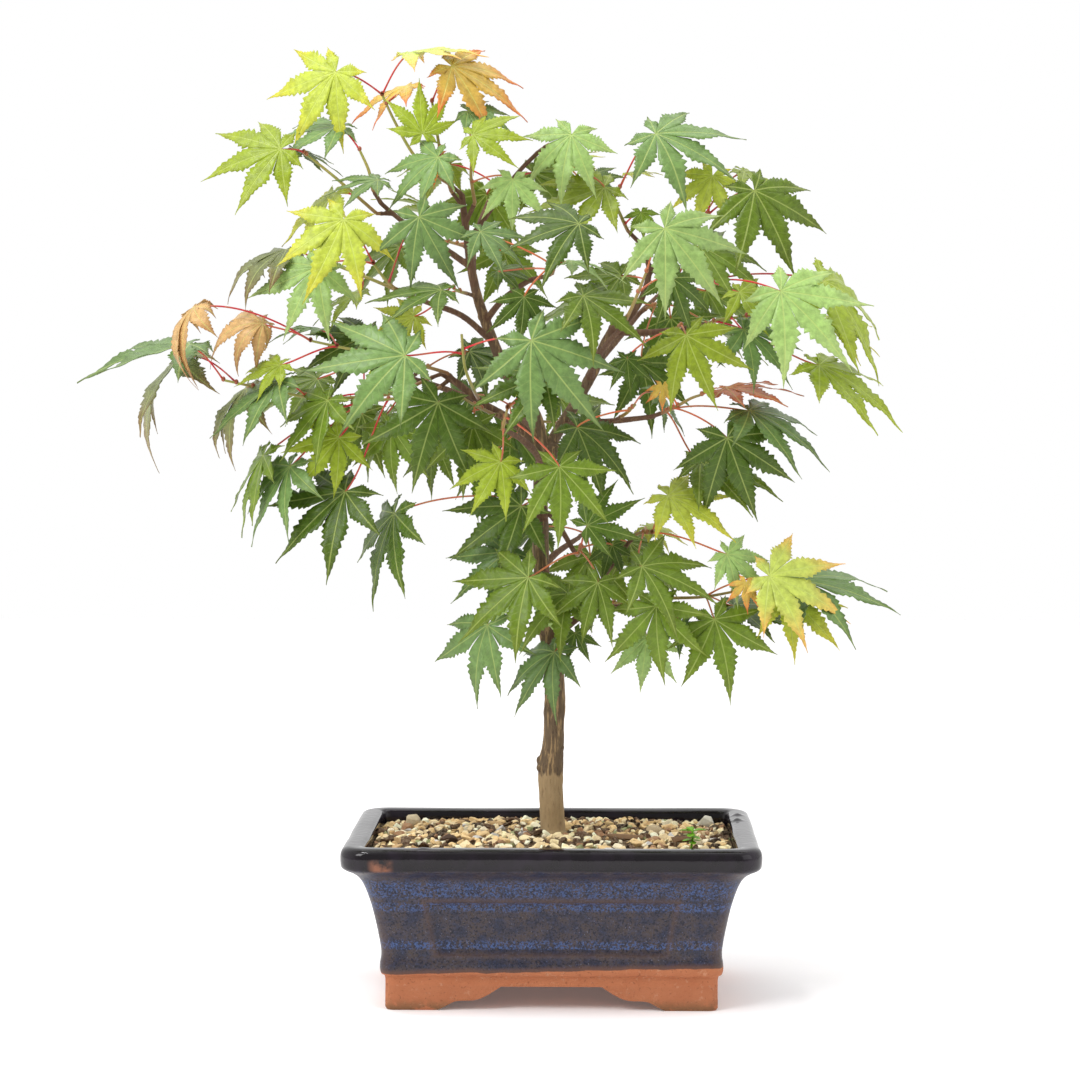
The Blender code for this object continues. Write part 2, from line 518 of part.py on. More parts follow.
def make_pot():
    rings = [pot_ring(inset, z, corner) for z, inset, corner in pot_profile()]
    top = POT_HEIGHT
    rings += [pot_ring(0.0, top - LIP_HEIGHT + 3, RIM_CORNER), pot_ring(0.0, top - 3.0, RIM_CORNER),
              pot_ring(1.2, top - 0.9, RIM_CORNER - 1), pot_ring(3.8, top, RIM_CORNER - 3),
              pot_ring(RIM_WIDTH - 1.8, top - 0.2, 5.0)]
    rings += [pot_ring(inset, z, corner) for z, inset, corner in cavity_profile()[::-1]]
    pot = add_object("pot", mesh_of("pot", loft(rings)), make_material("glaze", (0.05, 0.06, 0.12), 0.3))
    reach = max(POT_LENGTH, POT_DEPTH)
    half_x = POT_LENGTH / 2 - FOOT_INSET
    half_y = POT_DEPTH / 2 - FOOT_INSET
    cutters = [
        add_cutter("front_arch", prism(arch_outline(half_x - FRONT_FOOT_LENGTH, FRONT_OGEE), "y", reach)),
        add_cutter("side_arch", prism(arch_outline(half_y - SIDE_FOOT_LENGTH, SIDE_OGEE), "x", reach)),
        add_cutter("hollow_underside", box((-half_x + FOOT_WALL, -half_y + FOOT_WALL, -2),
                                           (half_x - FOOT_WALL, half_y - FOOT_WALL, UNDERSIDE))),
    ]
    cutters += [add_cutter(f"panel_{side}", panel_cutter(side)) for side in range(4)]
    for x in (-DRAIN_SPACING / 2, DRAIN_SPACING / 2):
        drain = tube(((x, 0, 0), (x, 0, FLOOR_LEVEL + 4)), (DRAIN_RADIUS, DRAIN_RADIUS), 16)
        cutters.append(add_cutter("drain", drain))
    for cutter in cutters:
        combine(pot, [cutter], "DIFFERENCE")
    shade_smooth(pot)


def make_drain_screens():
    material = make_material("screen_plastic", (0.02, 0.02, 0.02), 0.5)
    half = SCREEN_SIDE / 2
    cell = SCREEN_SIDE / 5
    for name, x in (("drain_screen_left", -DRAIN_SPACING / 2), ("drain_screen_right", DRAIN_SPACING / 2)):
        low = FLOOR_LEVEL + GAP
        plate = box((x - half, -half, low), (x + half, half, low + SCREEN_THICKNESS))
        screen = add_object(name, mesh_of(name, plate), material)
        holes = []
        for i in (-1.5, 0, 1.5):
            for j in (-1.5, 0, 1.5):
                centre = (x + i * cell * 0.85, j * cell * 0.85)
                corners = ((centre[0] - cell / 2, centre[1] - cell / 2, low - 2),
                           (centre[0] + cell / 2, centre[1] + cell / 2, low + 4))
                holes.append(add_cutter("screen_hole", box(*corners)))
        combine(screen, holes, "DIFFERENCE")


def soil_height(x, y):
    """The soil's top: mounded at the trunk, lower at the walls, lumpy with grains."""
    half_x = POT_LENGTH / 2 - RIM_WIDTH
    half_y = POT_DEPTH / 2 - RIM_WIDTH
    away = min(1.0, (abs(x) / half_x) ** 3 * 0.6 + (abs(y) / half_y) ** 3 * 0.8)
    lumps = math.sin(x * 0.61 + 1.3 * math.sin(y * 0.37)) + math.sin(y * 0.83 + 1.7 * math.sin(x * 0.29))
    drop = SOIL_DROP_CENTRE + (SOIL_DROP_EDGE - SOIL_DROP_CENTRE) * away
    return POT_HEIGHT - drop + SOIL_ROUGHNESS * 0.5 * lumps


def soil_block():
    """A block with the lumpy top, wider than the pot's inside."""
    columns, rows = 20, 15
    half_x = POT_LENGTH / 2
    half_y = POT_DEPTH / 2
    points = []
    for level in (0, 1):
        for j in range(rows + 1):
            for i in range(columns + 1):
                x = -half_x + 2 * half_x * i / columns
                y = -half_y + 2 * half_y * j / rows
                points.append((x, y, soil_height(x, y) if level else 0.0))
    across = columns + 1
    layer = across * (rows + 1)
    faces = []
    for j in range(rows):
        for i in range(columns):
            a = layer + j * across + i
            faces.append((a, a + 1, a + across))
            faces.append((a + 1, a + across + 1, a + across))
    edge = [i for i in range(columns)] + [j * across + columns for j in range(rows)]
    edge += [rows * across + i for i in range(columns, 0, -1)] + [j * across for j in range(rows, 0, -1)]
    faces.append(tuple(edge[::-1]))
    for a, b in zip(edge, edge[1:] + edge[:1]):
        faces.append((a, b, b + layer, a + layer))
    used = sorted({index for face in faces for index in face})
    place = {index: k for k, index in enumerate(used)}
    return [points[index] for index in used], [tuple(place[index] for index in face) for face in faces]


def surface_place(across, back, span):
    """Where a thing of this span lies, from shares of the room that the pot's opening leaves it."""
    room = span / 2 + 1.5
    return across * (POT_LENGTH / 2 - RIM_WIDTH - room), back * (POT_DEPTH / 2 - RIM_WIDTH - room)


def pebble(across, back, size, turn, seed, swell=0.0):
    """An angular stone or chip of the given (length, width, height), nearly half sunk in the soil."""
    x, y = surface_place(across, back, size[0])
    chance = random.Random(seed)
    spin = Matrix.Rotation(math.radians(turn), 3, "Z")
    body = bmesh.new()
    for _ in range(16):
        way = Vector([chance.uniform(-1, 1) for _ in range(3)]).normalized()
        body.verts.new([way[k] * (size[k] / 2 + swell) for k in range(3)])
    hull = bmesh.ops.convex_hull(body, input=body.verts)
    bmesh.ops.delete(body, geom=[e for e in hull["geom_interior"] if isinstance(e, bmesh.types.BMVert)],
                     context="VERTS")
    body.verts.index_update()
    base = Vector((x, y, soil_height(x, y) + size[2] * 0.05))
    points = [base + spin @ vert.co for vert in body.verts]
    faces = [tuple(vert.index for vert in face.verts) for face in body.faces]
    body.free()
    return points, faces


def seedling_stem(swell=0.0):
    x, y = surface_place(*SEEDLING_PLACE, SEEDLING_SPREAD)
    ground = soil_height(x, y)
    route = ((x, y, ground - 3 - swell), (x + 0.4, y, ground + 3), (x + 1, y - 1, ground + SEEDLING_HEIGHT))
    return tube(route, (0.7 + swell, 0.7 + swell, 0.6 + swell), 6)


def make_seedling():
    material = make_material("seedling_green", (0.20, 0.42, 0.06), 0.5)
    seedling = add_object("seedling", mesh_of("seedling", seedling_stem()), material)
    x, y = surface_place(*SEEDLING_PLACE, SEEDLING_SPREAD)
    top = soil_height(x, y) + SEEDLING_HEIGHT
    leaves = []
    for side in (-1, 1):
        outline = ((0, 0), (2.4, 1.6), (5.2, 1.2), (6.8, 0), (5.2, -1.2), (2.4, -1.6))
        rings = [[(x + 1 + side * u, y - 1 + side * v, top - 0.9 + level + 0.12 * u) for u, v in outline]
                 for level in (0, 0.6)]
        leaves.append(add_object("seedling_leaf", mesh_of("seedling_leaf", loft(rings))))
    combine(seedling, leaves, "UNION")


def make_soil():
    rings = [pot_ring(inset + GAP, z + (SCREEN_THICKNESS + 2 * GAP if z == FLOOR_LEVEL else 0), corner)
             for z, inset, corner in cavity_profile()]
    soil = add_object("soil", mesh_of("soil", soil_block()), make_material("grit", (0.42, 0.32, 0.20), 0.9))
    combine(soil, [add_object("cavity", mesh_of("cavity", loft(rings)))], "INTERSECT")
    trunk = WOOD["trunk"]
    low, top, above = (tree_point(row[:3]) for row in trunk[:3])
    low.z -= GAP
    above.z = max(above.z, POT_HEIGHT + 4)
    radii = [wood_radius(row[3]) + GAP for row in trunk[:3]]
    cutters = [add_cutter("trunk_pocket", tube((low, top, above), radii, 12))]
    for seed, (across, back, size, turn, _) in enumerate(SURFACE_PIECES.values()):
        cutters.append(add_cutter("pocket", pebble(across, back, size, turn, seed + 3, swell=PIECE_GAP)))
    cutters.append(add_cutter("seedling_pocket", seedling_stem(swell=GAP)))
    combine(soil, cutters, "DIFFERENCE")


def make_surface_pieces():
    for seed, (name, (across, back, size, turn, colour)) in enumerate(SURFACE_PIECES.items()):
        material = make_material(name + "_surface", colour, 0.85)
        add_object(name, mesh_of(name, pebble(across, back, size, turn, seed + 3)), material)


def tree_point(point):
    """A place on the tree, from the trunk's foot at the rim's height."""
    return Vector((point[0] * TREE_SCALE, point[1] * TREE_SCALE, POT_HEIGHT + point[2] * TREE_SCALE))


def wood_radius(radius):
    return radius * TREE_SCALE


def branch_shape(rows, sides, swell=0.0):
    route = smooth_route([(*tree_point(row[:3]), wood_radius(row[3])) for row in rows], BRANCH_STEP)
    return tube([point.to_3d() for point in route], [point[3] + swell for point in route], sides)


def spur_shape(spray, swell=0.0):
    start, end = (tree_point(point) for point in spray[0])
    radius = SHOOT_RADIUS + swell
    return tube((start, end), (radius * 1.15, radius), SHOOT_SIDES)


def wood_shapes(swell=0.0):
    shapes = []
    for name, rows in WOOD.items():
        sides = TRUNK_SIDES if name == "trunk" else BRANCH_SIDES
        shapes.append(branch_shape(rows, sides, swell))
    shapes += [spur_shape(spray, swell) for spray in SPRAYS.values()]
    return shapes


def make_wood():
    shapes = wood_shapes()
    wood = add_object("trunk_and_branches", mesh_of("wood", shapes[0]),
                      make_material("bark", (0.20, 0.15, 0.10), 0.85))
    helpers = [add_object("branch", mesh_of("branch", shape)) for shape in shapes[1:]]
    combine(wood, helpers, "UNION")
    shade_smooth(wood, 60)


def shoot_route(spray):
    """The green shoot, from a small gap past its woody spur."""
    start, end = (tree_point(point) for point in spray[0])
    way = (end - start).normalized()
    return [end + way * GAP, end + way * 2.0, *[tree_point(point) for point in spray[1]]]


def shoot_shape(spray, swell=0.0):
    route = shoot_route(spray)
    count = len(route) - 1
    radii = [SHOOT_RADIUS + swell - SHOOT_TAPER * i / count for i in range(count + 1)]
    return tube(route, radii, SHOOT_SIDES)


def along(route, share):
    """The place at this share of a route's length, and no nearer its ends than a stalk's thickness."""
    lengths = [(b - a).length for a, b in zip(route, route[1:])]
    left = min(max(share * sum(lengths), 3.0), sum(lengths) - 0.8)
    for a, b, length in zip(route, route[1:], lengths):
        if left <= length:
            return a.lerp(b, left / length)
        left -= length
    return route[-1]


def leaf_frame(aim, face):
    """The middle lobe's direction and the upper side's normal."""
    way = Vector((math.cos(math.radians(aim)), 0, math.sin(math.radians(aim))))
    up = Vector((0, -math.cos(math.radians(face)), math.sin(math.radians(face))))
    way = (way + FORWARD_LEAN * Vector((0, -math.cos(math.radians(face)), 0))).normalized()
    return way, (up - up.dot(way) * way).normalized()


def blade_outline():
    """Half of the leaf as (angle, share of length, droop share) from the stalk's side to the middle lobe."""
    half = []
    for (angle, share, shouldered), (notch, deep) in zip(LOBES, NOTCHES):
        if shouldered:
            half.append((angle + SHOULDER_ANGLE, share * SHOULDER_SHARE, 0.25))
        half.append((angle, share, 1.0))
        if shouldered:
            half.append((angle - SHOULDER_ANGLE, share * SHOULDER_SHARE, 0.25))
        half.append((notch, deep, 0.0))
    half.append((SHOULDER_ANGLE, SHOULDER_SHARE, 0.25))
    return half


def blade_shape(hub, way, normal, length, swell=0.0):
    """A lens that thins to its outline, with a keel under the hub where the stalk joins."""
    left = normal.cross(way)
    half = blade_outline()
    outline = [(180, SINUS, 0.0), *[(-angle, share, droop) for angle, share, droop in half], (0, 1.0, 1.0),
               *half[::-1]]
    points = [hub + normal * (BLADE_TOP + swell), hub - normal * (BLADE_KEEL + swell)]
    for angle, share, droop in outline:
        turn = math.radians(angle)
        reach = share * (length + swell)
        points.append(hub + reach * (math.cos(turn) * way + math.sin(turn) * left)
                      - normal * BLADE_DROOP * droop * share * length)
    count = len(outline)
    faces = []
    for i in range(count):
        a = 2 + i
        b = 2 + (i + 1) % count
        faces.append((0, a, b))
        faces.append((1, b, a))
    return points, faces


def stalk_shape(start, hub, way, normal, swell=0.0):
    """The leaf's stalk: it leaves the shoot rising, and comes in under the hub in line with the blade."""
    end = hub - normal * STALK_DEPTH
    reach = (end - start).length
    first = start.lerp(end, 0.33) + Vector((0, 0, 0.10 * reach))
    last = end - way * 0.30 * reach - normal * 0.05 * reach
    last = last.lerp(start.lerp(end, 0.67), 0.5)
    points = []
    for i in range(4):
        t = i / 3
        points.append(start * (1 - t) ** 3 + 3 * first * t * (1 - t) ** 2 + 3 * last * t * t * (1 - t)
                      + end * t ** 3)
    return tube(points, [PETIOLE_RADIUS + swell] * 4, STALK_SIDES)


class Crowd:
    """Every solid placed so far, to tell whether a new one is clear of them."""

    def __init__(self):
        self.rows = []

    def add(self, owner, shape):
        points, faces = shape
        low = [min(point[k] for point in points) for k in range(3)]
        high = [max(point[k] for point in points) for k in range(3)]
        self.rows.append((owner, low, high, BVHTree.FromPolygons(points, faces)))

    def clear(self, shape, skip=()):
        points, faces = shape
        low = [min(point[k] for point in points) for k in range(3)]
        high = [max(point[k] for point in points) for k in range(3)]
        tree = BVHTree.FromPolygons(points, faces)
        for owner, its_low, its_high, its_tree in self.rows:
            if owner in skip or any(low[k] > its_high[k] or high[k] < its_low[k] for k in range(3)):
                continue
            if tree.overlap(its_tree):
                return False
        return True


def grow_leaf(crowd, name, index, spray, leaf):
    """The leaf's blade and stalk, moved to the front or back, and at need up or down, to clear the others."""
    share, hub, aim, face, length = leaf
    start = along(shoot_route(spray), share)
    way, normal = leaf_frame(aim, face)
    length = length * LEAF_SCALE * TREE_SCALE
    own_stalks = {(name, "shoot"), *[(name, "stalk", i) for i in range(index)]}
    for rise, step in itertools.product(RISES, range(2 * DEPTH_STEPS)):
        offset = DEPTH_STEP * ((step + 1) // 2) * (1 if step % 2 else -1)
        place = tree_point(hub) + Vector((0, offset, rise))
        blade = blade_shape(place, way, normal, length, LEAF_CLEARANCE)
        stalk = stalk_shape(start, place, way, normal, LEAF_CLEARANCE)
        if crowd.clear(blade) and crowd.clear(stalk, own_stalks):
            break
    crowd.add((name, "blade", index), blade_shape(place, way, normal, length))
    crowd.add((name, "stalk", index), stalk_shape(start, place, way, normal))
    return blade_shape(place, way, normal, length), stalk_shape(start, place, way, normal)


def make_sprays():
    materials = {tone: make_material("leaves_" + tone, colour, 0.45) for tone, colour in TONES.items()}
    crowd = Crowd()
    for shape in wood_shapes():
        crowd.add(("wood",), shape)
    for name, spray in SPRAYS.items():
        crowd.add((name, "shoot"), shoot_shape(spray))
    for name, spray in SPRAYS.items():
        shapes = []
        for index, leaf in enumerate(spray[3]):
            shapes += grow_leaf(crowd, name, index, spray, leaf)
        obj = add_object(name, mesh_of(name, shoot_shape(spray)), materials[spray[2]])
        helpers = [add_object("piece", mesh_of("piece", shape)) for shape in shapes]
        combine(obj, helpers, "UNION")


def centre_on_origin():
    """Puts the whole object's middle over the origin, under one empty."""
    base = bpy.data.objects.new("bonsai", None)
    bpy.context.scene.collection.objects.link(base)
    solids = [obj for obj in bpy.context.scene.objects if obj.type == "MESH"]
    for axis in (0, 1):
        values = [vertex.co[axis] for obj in solids for vertex in obj.data.vertices]
        base.location[axis] = -(min(values) + max(values)) / 2
    for obj in solids:
        obj.parent = base


def main():
    clear_scene()
    make_pot()
    make_drain_screens()
    make_soil()
    make_surface_pieces()
    make_seedling()
    make_wood()
    make_sprays()
    centre_on_origin()


main()
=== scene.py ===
"""The bonsai maple's looks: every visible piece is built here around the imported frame.

Lengths are millimetres from the pot's centre unless a name ends in _m. The trunk and shoot routes repeat the
design's; each leaf's place is read from the frame. The pot stands on z = 0 and -Y is the front.
"""

import math
import random

import bmesh
import bpy
from mathutils import Matrix, Vector, noise
from mathutils.kdtree import KDTree


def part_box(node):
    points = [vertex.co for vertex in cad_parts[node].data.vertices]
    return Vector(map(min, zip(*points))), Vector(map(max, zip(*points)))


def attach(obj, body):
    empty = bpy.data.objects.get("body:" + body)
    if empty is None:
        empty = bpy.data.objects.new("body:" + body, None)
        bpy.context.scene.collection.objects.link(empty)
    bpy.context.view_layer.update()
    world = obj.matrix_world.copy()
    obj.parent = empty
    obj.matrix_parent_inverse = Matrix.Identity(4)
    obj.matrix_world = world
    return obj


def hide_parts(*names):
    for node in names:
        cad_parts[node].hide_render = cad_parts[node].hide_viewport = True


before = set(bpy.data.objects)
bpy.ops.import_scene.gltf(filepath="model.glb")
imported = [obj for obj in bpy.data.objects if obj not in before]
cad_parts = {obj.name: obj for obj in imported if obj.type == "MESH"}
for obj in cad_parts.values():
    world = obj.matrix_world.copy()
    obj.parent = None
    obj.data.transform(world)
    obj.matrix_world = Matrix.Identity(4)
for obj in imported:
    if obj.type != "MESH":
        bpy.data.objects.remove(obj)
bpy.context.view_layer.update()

MM = 0.001
POT_LOW, POT_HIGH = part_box("pot")
CENTRE = Vector(((POT_LOW.x + POT_HIGH.x) / 2, (POT_LOW.y + POT_HIGH.y) / 2, POT_LOW.z))
POT_LENGTH = (POT_HIGH.x - POT_LOW.x) / MM
POT_DEPTH = (POT_HIGH.y - POT_LOW.y) / MM
POT_HEIGHT = (POT_HIGH.z - POT_LOW.z) / MM

# Branches: name, then (x, y, height over the rim, radius) from the base to the tip.
WOOD = {
    "trunk": ((0.5, 0, -18, 6.5), (0, 0, -2, 6.2), (-0.6, 0, 12, 5.9), (-1, 0, 30, 6.0), (0.3, 0, 44, 5.2),
        (0.8, 0, 64, 5.0), (0, 0, 84, 5.0), (-2.2, 0, 98, 4.8), (-4.4, 0, 110, 4.1), (-6.2, 0, 140, 3.9),
        (-6, 0, 170, 3.7), (-4, 0, 190, 3.7)),
    "left_leader": ((-4, 0, 184, 3.4), (-9, -2, 204, 3.0), (-21, -4, 221, 2.8), (-29, -4, 239, 2.6),
        (-34, -2, 252, 2.5), (-38, 0, 265, 2.3), (-41, 2, 280, 2.0), (-43, 4, 295, 1.8), (-45, 4, 312, 1.5)),
    "right_leader": ((-4, 0, 184, 3.3), (3, 3, 197, 3.0), (10, 4, 208, 2.8), (19, 5, 224, 2.7),
        (25, 5, 238, 2.6), (30, 4, 247, 2.3)),
    "left_low": ((-5, 0, 186, 2.8), (-19, -5, 200, 2.4), (-34, -10, 209, 2.1), (-46, -12, 219, 1.8),
        (-54, -12, 224, 1.4)),
    "lower_right": ((-1, 0, 92, 2.3), (6, -3, 99, 2.0), (13, -5, 105, 1.8), (22, -9, 110, 1.6),
        (34, -13, 112, 1.3)),
    "lower_riser": ((13, -5, 105, 1.5), (20, -10, 116, 1.4), (27, -14, 128, 1.2), (37, -18, 142, 1.1)),
    "mid_twig": ((-6, 0, 155, 1.8), (-1, -6, 155, 1.6), (6, -12, 145, 1.4), (10, -14, 138, 1.2)),
    "lower_back": ((-5, 0, 128, 2.0), (0, 16, 134, 1.7), (8, 34, 139, 1.4), (12, 46, 141, 1.2)),
    "front_low": ((-5, 0, 176, 2.2), (-7, -18, 184, 1.9), (-14, -38, 192, 1.6), (-20, -54, 196, 1.2)),
    "back_low": ((-5, 0, 178, 2.3), (-9, 22, 190, 2.0), (-15, 46, 200, 1.6), (-20, 66, 206, 1.2)),
    "right_low": ((4, 3, 197, 2.0), (14, -6, 200, 1.7), (30, -14, 201, 1.5), (48, -17, 203, 1.2)),
    "right_out": ((29, 4, 245, 1.9), (42, 0, 244, 1.7), (56, -5, 245, 1.4), (70, -8, 247, 1.2)),
    "right_up": ((29, 4, 245, 2.0), (39, 8, 254, 1.8), (45, 10, 265, 1.6), (47, 12, 277, 1.4),
        (42, 12, 289, 1.2)),
    "right_up_out": ((46, 11, 272, 1.4), (56, 14, 284, 1.3), (66, 15, 295, 1.1)),
    "right_back": ((22, 5, 230, 2.0), (32, 28, 242, 1.7), (42, 52, 254, 1.4), (50, 70, 262, 1.1)),
    "right_front": ((18, 5, 222, 1.8), (22, -16, 232, 1.5), (28, -38, 240, 1.3), (32, -52, 244, 1.1)),
    "centre_front": ((-33, -2, 250, 1.7), (-24, -14, 260, 1.5), (-12, -28, 268, 1.3), (-4, -36, 270, 1.1)),
    "left_up": ((-40, 1, 276, 1.7), (-56, -2, 287, 1.5), (-72, -4, 297, 1.3), (-84, -4, 307, 1.1)),
    "left_mid": ((-30, -4, 240, 1.7), (-44, -16, 252, 1.5), (-60, -26, 258, 1.3), (-70, -30, 262, 1.1)),
    "left_back": ((-34, -10, 209, 1.7), (-52, 12, 216, 1.5), (-72, 32, 222, 1.3), (-86, 46, 226, 1.1)),
    "top_back": ((-39, 0, 268, 1.7), (-40, 22, 284, 1.4), (-38, 44, 300, 1.2), (-34, 58, 312, 1.1)),
    "top_right": ((-42, 3, 288, 1.6), (-30, 6, 306, 1.4), (-18, 6, 322, 1.2), (-8, 4, 332, 1.1)),
}

